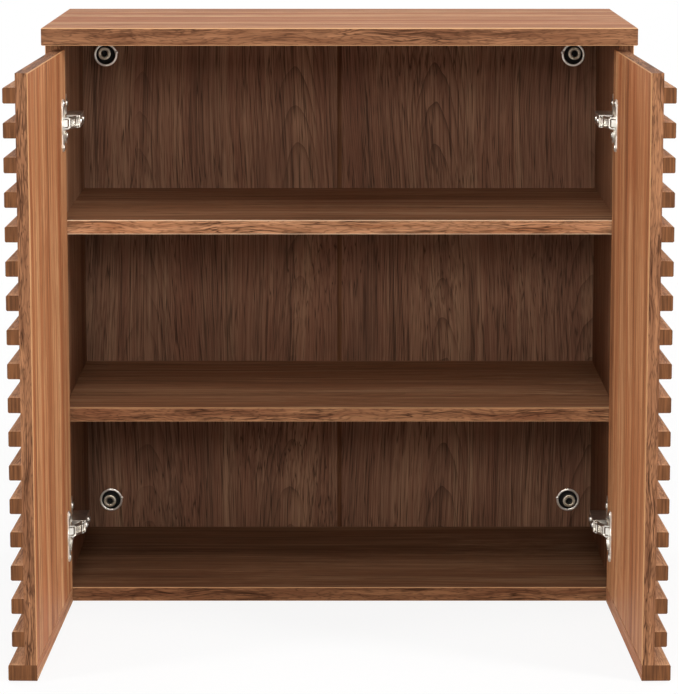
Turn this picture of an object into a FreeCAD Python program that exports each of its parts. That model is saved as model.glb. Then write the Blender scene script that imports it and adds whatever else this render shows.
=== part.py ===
import FreeCAD, Part
import Sketcher
import math
import os

# A wall-hung two-door shoe cabinet: flat boards, slatted doors and concealed
# four-pivot hinges.  Millimetres.  X runs to the right, Y to the wall and Z up.
# The origin is the middle of the flat underside.  Each door stands open, as a
# shoe cabinet is shown, and everything that belongs to the right-hand door is
# the mirror image of the left-hand one.

doc = FreeCAD.newDocument("ShoeCabinet")
sheet = doc.addObject("Spreadsheet::Sheet", "Sizes")

SIZES = {
    # carcass; a drop is measured down from the top of the side panels
    "cabinet_width": 610.0,
    "carcass_depth": 286.0,
    "carcass_height": 594.5,
    "side_thick": 15.0,
    "shelf_thick": 15.0,
    "lower_shelf_top": 210.0,
    "upper_shelf_drop": 185.0,
    "back_thick": 5.0,
    "top_thick": 18.0,
    "top_overhang": 41.0,
    "edge_ease": 0.8,
    # strip that covers the joint of the two back panels
    "strip_width": 5.2,
    "strip_face": 0.8,
    "strip_web": 1.2,
    # wall fixings, set in from the inner faces of the sides
    "fixing_in": 26.0,
    "fixing_low_z": 47.0,
    "fixing_drop": 33.5,
    "ring_flange_r": 13.2,
    "ring_flange_thick": 0.8,
    "ring_barrel_r": 11.6,
    "ring_bore_r": 10.6,
    "ring_floor": 1.0,
    "bush_outer_r": 7.2,
    "bush_length": 6.5,
    "bush_shift": 1.5,
    "wall_bolt_hole_r": 3.5,
    # doors
    "door_play": 3.0,
    "door_foot": 16.0,
    "door_head_gap": 6.5,
    "door_thick": 12.0,
    "slat_thick": 12.0,
    "slat_height": 15.0,
    "slat_count": 17,
    "lowest_slat": 34.2,
    "top_slat_gap": 13.5,
    "slat_ease": 1.0,
    "rail_foot": 0.5,
    "rail_thick": 28.0,
    # where the closed door stands: in from the side's outer face and out
    # from the front edges of the carcass
    "door_inset": 1.5,
    "door_gap": 2.0,
    "open_angle": 91.5,
    # hinge heights; the upper hinge is measured down from the door's head
    "lower_hinge_z": 79.0,
    "upper_hinge_drop": 76.0,
    # hinge pivots: on the cabinet they are measured in from the side's outer
    # face and back from the carcass front; in the door, along it from the
    # hinge edge and down into it from the inner face
    "outer_pivot_in": 31.0,
    "outer_pivot_back": 7.0,
    "outer_cup_along": 8.8,
    "outer_cup_deep": 3.2,
    "outer_link_turn": 0.275,
    "inner_pivot_in": 24.2,
    "inner_pivot_back": -5.5,
    "inner_cup_along": 10.1,
    "inner_cup_deep": 5.5,
    # hinge cup
    "cup_along": 20.5,
    "cup_outer_r": 17.5,
    "cup_wall": 0.8,
    "cup_depth": 10.5,
    "cup_rim_r": 19.0,
    "flange_thick": 1.5,
    "flange_ear_half": 7.0,
    "flange_half": 27.0,
    "flange_corner": 4.0,
    "cup_screw_beyond": 9.5,
    "cup_screw_in": 4.5,
    "notch_half": 9.5,
    "lug_inset": 3.4,
    "lug_length": 8.2,
    "lug_slope": 3.0,
    "lug_inner": 6.2,
    "lug_outer": 8.8,
    # the layers of the hinge, each measured from its middle plane
    "strap_half": 3.6,
    "cheek_inner": 3.7,
    "cheek_outer": 4.9,
    "link_inner": 5.0,
    "link_outer": 6.0,
    # links and pins
    "pin_play": 0.05,
    "outer_pin_r": 1.5,
    "inner_pin_r": 1.0,
    "cup_stub_r": 0.9,
    "cup_pin_r": 0.75,
    "loose_play": 0.85,
    "eye_wall": 0.8,
    "pivot_eye_wall": 1.0,
    "link_half": 1.2,
    "strap_thick": 1.6,
    "crank_outer_along": 6.0,
    "crank_outer_out": 3.0,
    "crank_inner_along": 6.5,
    "crank_inner_out": 2.0,
    # arm
    "arm_top": 34.2,
    "arm_thick": 1.2,
    "arm_half": 6.5,
    "arm_front": 12.0,
    "arm_overrun": 3.0,
    "brow_height": 14.0,
    "cheek_half": 2.4,
    "cheek_rear": 22.0,
    # mounting plate
    "plate_thick": 2.5,
    "plate_front": 27.0,
    "plate_width": 20.0,
    "plate_half": 26.0,
    "plate_taper_width": 3.0,
    "plate_taper_height": 9.0,
    "plate_rail_half": 4.9,
    "plate_rail_top": 26.0,
    "plate_rail_lead": 4.0,
    "plate_rail_length": 34.0,
    "plate_rail_bevel": 3.0,
    "plate_screw_in": 9.0,
    # screws
    "wood_screw_r": 1.75,
    "cup_screw_head_r": 3.5,
    "cup_screw_head": 1.2,
    "cup_screw_bite": 9.0,
    "plate_screw_head_r": 3.8,
    "plate_screw_head": 2.2,
    "plate_screw_bite": 11.0,
    "arm_screw_r": 2.0,
    "arm_screw_head_r": 3.4,
    "arm_screw_head": 2.0,
    "fixing_screw_in": 12.0,
    "fixing_screw_bite": 5.0,
    "adjuster_back": 19.0,
    "adjuster_shank": 6.0,
}

for row, (alias, value) in enumerate(SIZES.items(), start=1):
    sheet.set(f"A{row}", alias)
    sheet.set(f"B{row}", str(value))
    sheet.setAlias(f"B{row}", alias)
doc.recompute()

PLAN = "XY_Plane"
FACE = "XZ_Plane"
SECTION = "YZ_Plane"
Z_UP = FreeCAD.Vector(0, 0, 1)
UPRIGHT = FreeCAD.Rotation()
ALONG_X = FreeCAD.Rotation(FreeCAD.Vector(0, 1, 0), 90)
OUT_FRONT = FreeCAD.Rotation(FreeCAD.Vector(1, 0, 0), 90)
# Screws, small holes and the round ends of the hinge links come many times
# over, so each of them is drawn with few sides.
FEW_SIDES = 8
nodes = []


def size(alias):
    """Value of one named size in the sheet."""
    return float(sheet.get(alias))


def bind(obj, **formulas):
    """Tie properties of an object to formulas; bare size names are looked up in the sheet."""
    for prop, formula in formulas.items():
        words = []
        for word in formula.split():
            words.append(f"Sizes.{word}" if word in SIZES else word)
        obj.setExpression(prop.replace("__", "."), " ".join(words))


def new_body(label):
    """A body that becomes one exported node; it may hold several separate solids."""
    body = doc.addObject("PartDesign::Body", label)
    body.Label = label
    body.AllowCompound = True
    nodes.append(body)
    return body


def draw(body, name, plane, **shift):
    """Empty sketch on one of the body's own planes, its origin shifted by formulas."""
    sketch = body.newObject("Sketcher::SketchObject", name)
    support = [feature for feature in body.Origin.OriginFeatures if feature.Role == plane][0]
    sketch.AttachmentSupport = [(support, "")]
    sketch.MapMode = "FlatFace"
    for axis, formula in shift.items():
        bind(sketch, **{f"AttachmentOffset__Base__{axis}": formula})
    return sketch


def hold(sketch, kind, geometry, point, start, formula):
    """Tie one coordinate of a drawn point, seen from the sketch's origin, to a formula."""
    index = sketch.addConstraint(Sketcher.Constraint(kind, -1, 1, geometry, point, start))
    bind(sketch, **{f"Constraints[{index}]": formula})


def outline(sketch, corners):
    """Closed outline of straight edges; each corner is a pair of formulas."""
    first = sketch.GeometryCount
    count = len(corners)
    ring = []
    for step in range(count):
        turn = 2 * math.pi * (step + 0.25) / count
        ring.append(FreeCAD.Vector(math.cos(turn), math.sin(turn), 0))
    for step in range(count):
        sketch.addGeometry(Part.LineSegment(ring[step], ring[(step + 1) % count]))
    for step in range(count):
        following = first + (step + 1) % count
        sketch.addConstraint(Sketcher.Constraint("Coincident", first + step, 2, following, 1))
    for step, (across, up) in enumerate(corners):
        hold(sketch, "DistanceX", first + step, 1, ring[step].x, across)
        hold(sketch, "DistanceY", first + step, 1, ring[step].y, up)
    return sketch


def rectangle(sketch, left, right, low, high):
    """Upright rectangle between four formulas."""
    return outline(sketch, ((left, low), (right, low), (right, high), (left, high)))


def circle(sketch, across, up, radius):
    """Circle whose centre and radius are formulas."""
    index = sketch.addGeometry(Part.Circle(FreeCAD.Vector(1, 1, 0), Z_UP, 1))
    hold(sketch, "DistanceX", index, 3, 1, across)
    hold(sketch, "DistanceY", index, 3, 1, up)
    girth = sketch.addConstraint(Sketcher.Constraint("Radius", index, 1.0))
    bind(sketch, **{f"Constraints[{girth}]": radius})
    return sketch


def pad(body, sketch, length):
    """Raise a sketch by a length along its plane's normal."""
    feature = body.newObject("PartDesign::Pad", f"{sketch.Name}_pad")
    feature.Profile = sketch
    bind(feature, Length=length)
    return feature


def pocket(body, sketch, depth, along_normal=False):
    """Cut a sketch away, against its plane's normal unless told otherwise."""
    feature = body.newObject("PartDesign::Pocket", f"{sketch.Name}_pocket")
    feature.Profile = sketch
    feature.Reversed = along_normal
    bind(feature, Length=depth)
    return feature


def turned(body, sketch, cut=False):
    """Turn a half profile about its sketch's upright axis."""
    kind = "PartDesign::Groove" if cut else "PartDesign::Revolution"
    feature = body.newObject(kind, f"{sketch.Name}_turned")
    feature.Profile = sketch
    feature.ReferenceAxis = (sketch, ["V_Axis"])
    feature.Angle = 360
    return feature


def prism(body, name, foot, radius, length, turn, cut=False):
    """Few-sided rod or hole that a circle of the radius fits inside."""
    kind = "PartDesign::SubtractivePrism" if cut else "PartDesign::AdditivePrism"
    feature = body.newObject(kind, name)
    feature.Polygon = FEW_SIDES
    feature.Placement = FreeCAD.Placement(FreeCAD.Vector(), turn)
    bind(feature, Circumradius=f"( {radius} ) / cos( 180 deg / {FEW_SIDES} )", Height=length)
    bind(feature, Placement__Base__x=foot[0], Placement__Base__y=foot[1], Placement__Base__z=foot[2])
    return feature


def at(point):
    """Two formulas for a computed point of a hinge drawing."""
    return f"{point.x:.6f}", f"{point.y:.6f}"


def ease_edges(body, base, keep, amount):
    """Chamfer the edges of a feature that pass the test keep."""
    doc.recompute()
    picked = []
    for index, edge in enumerate(base.Shape.Edges, start=1):
        if keep(edge.BoundBox):
            picked.append(f"Edge{index}")
    chamfer = body.newObject("PartDesign::Chamfer", f"{body.Name}_ease")
    chamfer.Base = (base, picked)
    bind(chamfer, Size=amount)
    return chamfer


def repeat_up(body, pitch, count):
    """Repeat the whole body upwards."""
    doc.recompute()
    row = body.newObject("PartDesign::LinearPattern", f"{body.Name}_row")
    row.TransformMode = "Whole shape"
    upward = [axis for axis in body.Origin.OriginFeatures if axis.Role == "Z_Axis"][0]
    row.Direction = (upward, [""])
    row.Mode = "Spacing"
    bind(row, Offset=pitch, Occurrences=count)
    body.Tip = row


def mirror_right(body, label):
    """Right-hand counterpart of a left-hand node."""
    twin = doc.addObject("Part::Mirroring", label)
    twin.Label = label
    twin.Source = body
    twin.Normal = (1, 0, 0)
    nodes.append(twin)


# ---- places that follow from the sizes ----------------------------------------
HALF_WIDTH = "cabinet_width / 2"
INNER_HALF = "( cabinet_width / 2 - side_thick )"
HALF_DEPTH = "carcass_depth / 2"
FRONT = "0 - carcass_depth / 2"
BACK_FACE = "carcass_depth / 2 - back_thick"
UPPER_SHELF_TOP = "carcass_height - upper_shelf_drop"
FIXING_X = "( cabinet_width / 2 - side_thick - fixing_in )"
FIXING_HIGH_Z = "carcass_height - fixing_drop"
DOOR_WIDTH = "cabinet_width / 2 - door_play"
DOOR_HEAD = "carcass_height - door_head_gap"
HINGE_SPACING = f"( {DOOR_HEAD} - upper_hinge_drop - lower_hinge_z )"
SLAT_PITCH = f"( {DOOR_HEAD} - top_slat_gap - slat_height - lowest_slat ) / ( slat_count - 1 )"
CUP_SCREW_ALONG = "( cup_along + cup_screw_beyond )"
CUP_SCREW_HALF = "( flange_half - cup_screw_in )"
PLATE_SCREW_BACK = "( plate_front + plate_width / 2 )"
PLATE_SCREW_HALF = "( plate_half - plate_screw_in )"
RAIL_FRONT = "( plate_front - plate_rail_lead )"
RAIL_REAR = f"( {RAIL_FRONT} + plate_rail_length )"
FIXING_SCREW_BACK = f"( {RAIL_REAR} - fixing_screw_in )"
ARM_REAR = f"( {RAIL_REAR} + arm_overrun )"
HINGE_LEVELS = ("lower_hinge_z", f"lower_hinge_z + {HINGE_SPACING}")
FLUSH = 0.01
front_limit = FLUSH - size("carcass_depth") / 2

# ---- carcass ---------------------------------------------------------------
top = new_body("top_board")
top_outline = draw(top, "top_outline", PLAN, z="carcass_height")
rectangle(top_outline, f"0 - {HALF_WIDTH}", HALF_WIDTH, f"{FRONT} - top_overhang", HALF_DEPTH)
top_slab = pad(top, top_outline, "top_thick")
wall_limit = size("carcass_depth") / 2 - FLUSH
ease_edges(top, top_slab, lambda box: box.ZLength < FLUSH and box.YMin < wall_limit, "edge_ease")

side = new_body("side_panel_left")
side_outline = draw(side, "side_outline", SECTION, z=f"0 - {HALF_WIDTH}")
rectangle(side_outline, FRONT, HALF_DEPTH, "0", "carcass_height")
side_slab = pad(side, side_outline, "side_thick")
ease_edges(side, side_slab, lambda box: box.YMax < front_limit and box.XLength < FLUSH, "edge_ease")
for level in HINGE_LEVELS:
    for step in ("-", "+"):
        prism(
            side, "plate_screw_hole",
            (f"0 - {HALF_WIDTH} + side_thick - plate_screw_bite",
             f"{FRONT} + {PLATE_SCREW_BACK}", f"{level} {step} {PLATE_SCREW_HALF}"),
            "wood_screw_r", "plate_screw_bite", ALONG_X, cut=True,
        )
mirror_right(side, "side_panel_right")

for label, level in (
    ("bottom_board", "0"),
    ("shelf_lower", "lower_shelf_top - shelf_thick"),
    ("shelf_upper", f"{UPPER_SHELF_TOP} - shelf_thick"),
):
    board = new_body(label)
    board_outline = draw(board, f"{label}_outline", PLAN, z=level)
    rectangle(board_outline, f"0 - {INNER_HALF}", INNER_HALF, FRONT, BACK_FACE)
    board_slab = pad(board, board_outline, "shelf_thick")
    ease_edges(board, board_slab, lambda box: box.YMax < front_limit and box.ZLength < FLUSH, "edge_ease")

# ---- back: two panels, the strip over their joint and the wall fixings ---------
for label, left, right, sign in (
    ("back_panel_left", f"0 - {INNER_HALF}", "0 - strip_web / 2", "-"),
    ("back_panel_right", "strip_web / 2", INNER_HALF, "+"),
):
    back = new_body(label)
    back_outline = draw(back, f"{label}_outline", FACE, z=f"0 - {HALF_DEPTH}")
    rectangle(back_outline, left, right, "0", "carcass_height")
    for level in ("fixing_low_z", FIXING_HIGH_Z):
        circle(back_outline, f"0 {sign} {FIXING_X}", level, "ring_barrel_r")
    pad(back, back_outline, "back_thick")

# The strip is a T in section: its web fills the joint and its flat face covers it.
strip = new_body("back_joint_strip")
strip_section = draw(strip, "strip_section", PLAN)
outline(strip_section, (
    ("0 - strip_web / 2", HALF_DEPTH),
    ("0 - strip_web / 2", BACK_FACE),
    ("0 - strip_width / 2", BACK_FACE),
    ("0 - strip_width / 2", f"{BACK_FACE} - strip_face"),
    ("strip_width / 2", f"{BACK_FACE} - strip_face"),
    ("strip_width / 2", BACK_FACE),
    ("strip_web / 2", BACK_FACE),
    ("strip_web / 2", HALF_DEPTH),
))
pad(strip, strip_section, "carcass_height")
board_gaps = draw(strip, "board_gaps", SECTION, z="strip_width")
for low, high in (
    ("0", "shelf_thick"),
    ("lower_shelf_top - shelf_thick", "lower_shelf_top"),
    (f"{UPPER_SHELF_TOP} - shelf_thick", UPPER_SHELF_TOP),
):
    rectangle(board_gaps, f"{BACK_FACE} - 2 * strip_face", BACK_FACE, low, high)
pocket(strip, board_gaps, "2 * strip_width")

# Each wall fixing is a flanged ring with a thin floor.  The bolt's bush is held
# in that floor, a little towards the nearest corner of the cabinet.
rings = new_body("wall_rings")
bushes = new_body("wall_bushes")
for name, sign, level, lift in (
    ("low_left", "-", "fixing_low_z", "-"),
    ("high_left", "-", FIXING_HIGH_Z, "+"),
    ("low_right", "+", "fixing_low_z", "-"),
    ("high_right", "+", FIXING_HIGH_Z, "+"),
):
    centre = f"0 {sign} {FIXING_X}"
    bolt_x = f"{centre} {sign} bush_shift"
    bolt_z = f"{level} {lift} bush_shift"
    ring_profile = draw(rings, f"ring_{name}", PLAN, x=centre, z=level)
    outline(ring_profile, (
        ("0", HALF_DEPTH),
        ("ring_barrel_r", HALF_DEPTH),
        ("ring_barrel_r", BACK_FACE),
        ("ring_flange_r", BACK_FACE),
        ("ring_flange_r", f"{BACK_FACE} - ring_flange_thick"),
        ("ring_bore_r", f"{BACK_FACE} - ring_flange_thick"),
        ("ring_bore_r", f"{HALF_DEPTH} - ring_floor"),
        ("0", f"{HALF_DEPTH} - ring_floor"),
    ))
    turned(rings, ring_profile)
    prism(rings, f"bush_seat_{name}", (bolt_x, HALF_DEPTH, bolt_z), "bush_outer_r", "ring_floor",
          OUT_FRONT, cut=True)
    bush_profile = draw(bushes, f"bush_{name}", PLAN, x=bolt_x, z=bolt_z)
    rectangle(bush_profile, "wall_bolt_hole_r", "bush_outer_r",
              f"{HALF_DEPTH} - bush_length", HALF_DEPTH)
    turned(bushes, bush_profile)

# ---- where the hinge leaves the door when it is open ---------------------------
# A hinge is drawn on the plan of the left-hand side: X in from the outer face of
# the side, Y back from the front edges of the carcass.
outer_pivot = FreeCAD.Vector(size("outer_pivot_in"), size("outer_pivot_back"), 0)
inner_pivot = FreeCAD.Vector(size("inner_pivot_in"), size("inner_pivot_back"), 0)
closed_corner = FreeCAD.Vector(size("door_inset"), -size("door_gap"), 0)
closed_cup_pivot = closed_corner + FreeCAD.Vector(size("outer_cup_along"), -size("outer_cup_deep"), 0)
opened = FreeCAD.Rotation(Z_UP, -size("open_angle"))
link_opened = FreeCAD.Rotation(Z_UP, size("outer_link_turn") * size("open_angle"))
open_cup_pivot = outer_pivot + link_opened.multVec(closed_cup_pivot - outer_pivot)
open_corner = open_cup_pivot + opened.multVec(closed_corner - closed_cup_pivot)
plan_origin = FreeCAD.Vector(-size("cabinet_width") / 2, -size("carcass_depth") / 2, 0)
door_place = FreeCAD.Placement(plan_origin + open_corner, opened)


def in_door(along, out):
    """Point of the hinge plan from its place on the open door."""
    return open_corner + opened.multVec(FreeCAD.Vector(along, out, 0))


# ---- door: panel, slats and bottom rail ----------------------------------------
# Drawn in the door's own frame: X along the door from its hinge edge, Y out of
# its inner face towards the shelves, Z up.
panel = new_body("door_panel_left")
panel_outline = draw(panel, "panel_outline", FACE)
rectangle(panel_outline, "0", DOOR_WIDTH, "door_foot", DOOR_HEAD)
panel_slab = pad(panel, panel_outline, "door_thick")
ease_edges(panel, panel_slab, lambda box: box.YMin > -FLUSH, "edge_ease")
cup_bores = draw(panel, "cup_bores", FACE)
for level in HINGE_LEVELS:
    circle(cup_bores, "cup_along", level, "cup_outer_r")
pocket(panel, cup_bores, "cup_depth", along_normal=True)
for level in HINGE_LEVELS:
    for step in ("-", "+"):
        prism(panel, "cup_screw_hole", (CUP_SCREW_ALONG, "0", f"{level} {step} {CUP_SCREW_HALF}"),
              "wood_screw_r", "cup_screw_bite", OUT_FRONT, cut=True)


def moulding(body, name, back, thick, low, high):
    """Bar across the door with its two outer corners eased."""
    section = draw(body, name, SECTION)
    outline(section, (
        (f"0 - {back}", low),
        (f"0 - {back}", high),
        (f"0 - {back} - {thick} + slat_ease", high),
        (f"0 - {back} - {thick}", f"{high} - slat_ease"),
        (f"0 - {back} - {thick}", f"{low} + slat_ease"),
        (f"0 - {back} - {thick} + slat_ease", low),
    ))
    pad(body, section, DOOR_WIDTH)


slats = new_body("door_slats_left")
moulding(slats, "slat_section", "door_thick", "slat_thick", "lowest_slat", "lowest_slat + slat_height")
repeat_up(slats, SLAT_PITCH, "slat_count")

rail = new_body("door_rail_left")
moulding(rail, "rail_section", "0", "rail_thick", "rail_foot", "door_foot")

# ---- hinge cup: pressed cup, flange with two ears and two lugs for the pins ------
EAR_NEAR = f"{CUP_SCREW_ALONG} - flange_ear_half"
EAR_FAR = f"{CUP_SCREW_ALONG} + flange_ear_half"
cups = new_body("hinge_cups_left")
ear_flange = draw(cups, "ear_flange", FACE, y="lower_hinge_z", z="0 - flange_thick")
outline(ear_flange, (
    (f"{EAR_NEAR} + flange_corner", "0 - flange_half"),
    (f"{EAR_FAR} - flange_corner", "0 - flange_half"),
    (EAR_FAR, "flange_corner - flange_half"),
    (EAR_FAR, "flange_half - flange_corner"),
    (f"{EAR_FAR} - flange_corner", "flange_half"),
    (f"{EAR_NEAR} + flange_corner", "flange_half"),
    (EAR_NEAR, "flange_half - flange_corner"),
    (EAR_NEAR, "flange_corner - flange_half"),
))
pad(cups, ear_flange, "flange_thick")
cup_profile = draw(cups, "cup_profile", PLAN, x="cup_along", z="lower_hinge_z")
outline(cup_profile, (
    ("0", "0 - cup_depth"),
    ("cup_outer_r", "0 - cup_depth"),
    ("cup_outer_r", "0"),
    ("cup_rim_r", "0"),
    ("cup_rim_r", "flange_thick"),
    ("0", "flange_thick"),
))
turned(cups, cup_profile)
hollow_profile = draw(cups, "hollow_profile", PLAN, x="cup_along", z="lower_hinge_z")
rectangle(hollow_profile, "0", "cup_outer_r - cup_wall", "cup_wall - cup_depth", "flange_thick")
turned(cups, hollow_profile, cut=True)
rim_notch = draw(cups, "rim_notch", FACE, y="lower_hinge_z", z="0 - flange_thick")
rectangle(rim_notch, "0", "cup_along / 2", "0 - notch_half", "notch_half")
pocket(cups, rim_notch, "flange_thick", along_normal=True)
LUG_FOOT = "cup_wall / 2 - cup_depth"
LUG_START = "cup_along - cup_outer_r + lug_inset"
for name, low in (("lower_lug", "0 - lug_outer"), ("upper_lug", "lug_inner")):
    lug = draw(cups, name, PLAN, x=LUG_START, z=f"lower_hinge_z + {low}")
    outline(lug, (
        ("0", LUG_FOOT),
        ("lug_length", LUG_FOOT),
        ("lug_length", "0 - cup_wall - lug_slope"),
        ("lug_length - lug_slope", "0 - cup_wall"),
        ("0", "0 - cup_wall"),
    ))
    pad(cups, lug, "lug_outer - lug_inner")
for step in ("-", "+"):
    prism(cups, "ear_hole", (CUP_SCREW_ALONG, "flange_thick", f"lower_hinge_z {step} {CUP_SCREW_HALF}"),
          "wood_screw_r", "flange_thick", OUT_FRONT, cut=True)
repeat_up(cups, HINGE_SPACING, "2")

# The pins are held between the lugs: one long pin for the inner link and two
# short ones that reach through the plates of the outer link.
cup_pins = new_body("cup_pins_left")
prism(cup_pins, "long_pin", ("inner_cup_along", "0 - inner_cup_deep", "lower_hinge_z - lug_inner"),
      "cup_pin_r", "2 * lug_inner", UPRIGHT)
for name, low in (("lower_stub", "0 - lug_inner"), ("upper_stub", "link_inner")):
    stub = draw(cup_pins, name, PLAN, z=f"lower_hinge_z + {low}")
    circle(stub, "outer_cup_along", "0 - outer_cup_deep", "cup_stub_r")
    pad(cup_pins, stub, "lug_inner - link_inner")
repeat_up(cup_pins, HINGE_SPACING, "2")


cup_screws = new_body("cup_screws_left")
for step in ("-", "+"):
    level = f"lower_hinge_z {step} {CUP_SCREW_HALF}"
    prism(cup_screws, "cup_screw_head", (CUP_SCREW_ALONG, "flange_thick + cup_screw_head", level),
          "cup_screw_head_r", "cup_screw_head", OUT_FRONT)
    prism(cup_screws, "cup_screw_shank", (CUP_SCREW_ALONG, "flange_thick", level),
          "wood_screw_r", "flange_thick + cup_screw_bite", OUT_FRONT)
repeat_up(cup_screws, HINGE_SPACING, "2")

for body in (panel, slats, rail, cups, cup_pins, cup_screws):
    body.Placement = door_place


# ---- outlines of the small hinge links -------------------------------------------
def unit(start, end):
    """Direction from one point to another."""
    return (end - start).normalize()


def left_of(direction):
    """Direction a quarter turn to the left."""
    return FreeCAD.Vector(-direction.y, direction.x, 0)


def eye(centre, toward, half, radius):
    """Corners of the round end of a strip, from one edge of the strip to the other."""
    gap = math.asin(min(1, half / radius))
    start = math.atan2(toward.y, toward.x) + gap
    span = 2 * (math.pi - gap)
    corners = []
    for step in range(FEW_SIDES + 1):
        angle = start + span * step / FEW_SIDES
        corners.append(centre + FreeCAD.Vector(radius * math.cos(angle), radius * math.sin(angle), 0))
    return corners


def cranked(start, bend, end, half, start_eye, end_eye):
    """Outline of a strip bent once, round at its start and, where end_eye is given, at its end."""
    reach = unit(start, bend)
    tail = unit(bend, end)
    mitre = (left_of(reach) + left_of(tail)) * (half / (1 + reach.dot(tail)))
    if end_eye:
        finish = eye(end, tail * -1, half, end_eye)
    else:
        finish = [end - left_of(tail) * half, end + left_of(tail) * half]
    corners = [bend - mitre, *finish, bend + mitre, *eye(start, reach, half, start_eye)]
    return [at(corner) for corner in corners]


def layers(inner, outer):
    """Heights of the lower and the upper one of a pair of plates."""
    return ("lower", f"lower_hinge_z - {outer}"), ("upper", f"lower_hinge_z + {inner}")


# ---- outer link: two cranked side plates on one riveted pivot pin ------------------
outer_crank = in_door(size("crank_outer_along"), size("crank_outer_out"))
outer_outline = cranked(
    outer_pivot, outer_crank, open_cup_pivot, size("link_half"),
    size("outer_pin_r") + size("pivot_eye_wall"), size("cup_stub_r") + size("eye_wall"),
)
outer_links = new_body("outer_links_left")
for name, low in layers("link_inner", "link_outer"):
    plate = draw(outer_links, f"{name}_plate", PLAN, z=low)
    outline(plate, outer_outline)
    pad(outer_links, plate, "link_outer - link_inner")
    prism(outer_links, f"{name}_cup_hole", (*at(open_cup_pivot), low), "cup_stub_r + pin_play",
          "link_outer - link_inner", UPRIGHT, cut=True)
riveted_pin = draw(outer_links, "riveted_pin", PLAN, z="lower_hinge_z - link_inner")
circle(riveted_pin, *at(outer_pivot), "outer_pin_r")
pad(outer_links, riveted_pin, "2 * link_inner")
repeat_up(outer_links, HINGE_SPACING, "2")

# ---- inner link: one cranked strap; its eye on the cup pin is left loose -----------
inner_crank = in_door(size("crank_inner_along"), size("crank_inner_out"))
inner_cup_pivot = in_door(size("inner_cup_along"), -size("inner_cup_deep"))
inner_outline = cranked(
    inner_pivot, inner_crank, inner_cup_pivot, size("strap_thick") / 2,
    size("inner_pin_r") + size("eye_wall"), size("cup_pin_r") + size("loose_play") + size("eye_wall"),
)
inner_links = new_body("inner_links_left")
STRAP_LOW = "lower_hinge_z - strap_half"
strap = draw(inner_links, "strap", PLAN, z=STRAP_LOW)
outline(strap, inner_outline)
pad(inner_links, strap, "2 * strap_half")
for name, centre, radius in (
    ("arm_hole", inner_pivot, "inner_pin_r + pin_play"),
    ("cup_hole", inner_cup_pivot, "cup_pin_r + loose_play"),
):
    prism(inner_links, name, (*at(centre), STRAP_LOW), radius, "2 * strap_half",
          UPRIGHT, cut=True)
repeat_up(inner_links, HINGE_SPACING, "2")

# ---- arm: folded channel over the plate, with two cheeks that carry the pivots -----
arms = new_body("hinge_arms_left")
ARM_FOOT = "side_thick + plate_thick"
channel = draw(arms, "channel", FACE, y="lower_hinge_z", z=f"0 - {ARM_REAR}")
outline(channel, (
    (ARM_FOOT, "0 - arm_half"),
    ("arm_top", "0 - arm_half"),
    ("arm_top", "arm_half"),
    (ARM_FOOT, "arm_half"),
    (ARM_FOOT, "arm_half - arm_thick"),
    ("arm_top - arm_thick", "arm_half - arm_thick"),
    ("arm_top - arm_thick", "arm_thick - arm_half"),
    (ARM_FOOT, "arm_thick - arm_half"),
))
pad(arms, channel, f"{ARM_REAR} - arm_front")
brow = draw(arms, "brow", FACE, y="lower_hinge_z", z="0 - arm_front - arm_thick")
rectangle(brow, "arm_top - brow_height", "arm_top", "0 - arm_half", "arm_half")
pad(arms, brow, "arm_thick")
cheek_end = FreeCAD.Vector(outer_pivot.x, size("cheek_rear"), 0)
cheek_outline = cranked(
    inner_pivot, outer_pivot, cheek_end, size("cheek_half"), size("cheek_half"), None,
)
for name, low in layers("cheek_inner", "cheek_outer"):
    cheek = draw(arms, f"{name}_cheek", PLAN, z=low)
    outline(cheek, cheek_outline)
    pad(arms, cheek, "cheek_outer - cheek_inner")
    prism(arms, f"{name}_pivot_hole", (*at(outer_pivot), low), "outer_pin_r + pin_play",
          "cheek_outer - cheek_inner", UPRIGHT, cut=True)
for back in (FIXING_SCREW_BACK, "adjuster_back"):
    prism(arms, "arm_screw_hole", ("arm_top - arm_thick", back, "lower_hinge_z"),
          "arm_screw_r", "arm_thick", ALONG_X, cut=True)
repeat_up(arms, HINGE_SPACING, "2")

arm_pins = new_body("arm_pins_left")
inner_pin = draw(arm_pins, "inner_pin", PLAN, z="lower_hinge_z - cheek_inner")
circle(inner_pin, *at(inner_pivot), "inner_pin_r")
pad(arm_pins, inner_pin, "2 * cheek_inner")
repeat_up(arm_pins, HINGE_SPACING, "2")

arm_screws = new_body("arm_screws_left")
for back, shank in (
    (FIXING_SCREW_BACK, "arm_top - plate_rail_top + fixing_screw_bite"),
    ("adjuster_back", "adjuster_shank"),
):
    prism(arm_screws, "arm_screw_head", ("arm_top", back, "lower_hinge_z"),
          "arm_screw_head_r", "arm_screw_head", ALONG_X)
    prism(arm_screws, "arm_screw_shank", (f"arm_top - ( {shank} )", back, "lower_hinge_z"),
          "arm_screw_r", shank, ALONG_X)
repeat_up(arm_screws, HINGE_SPACING, "2")

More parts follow.
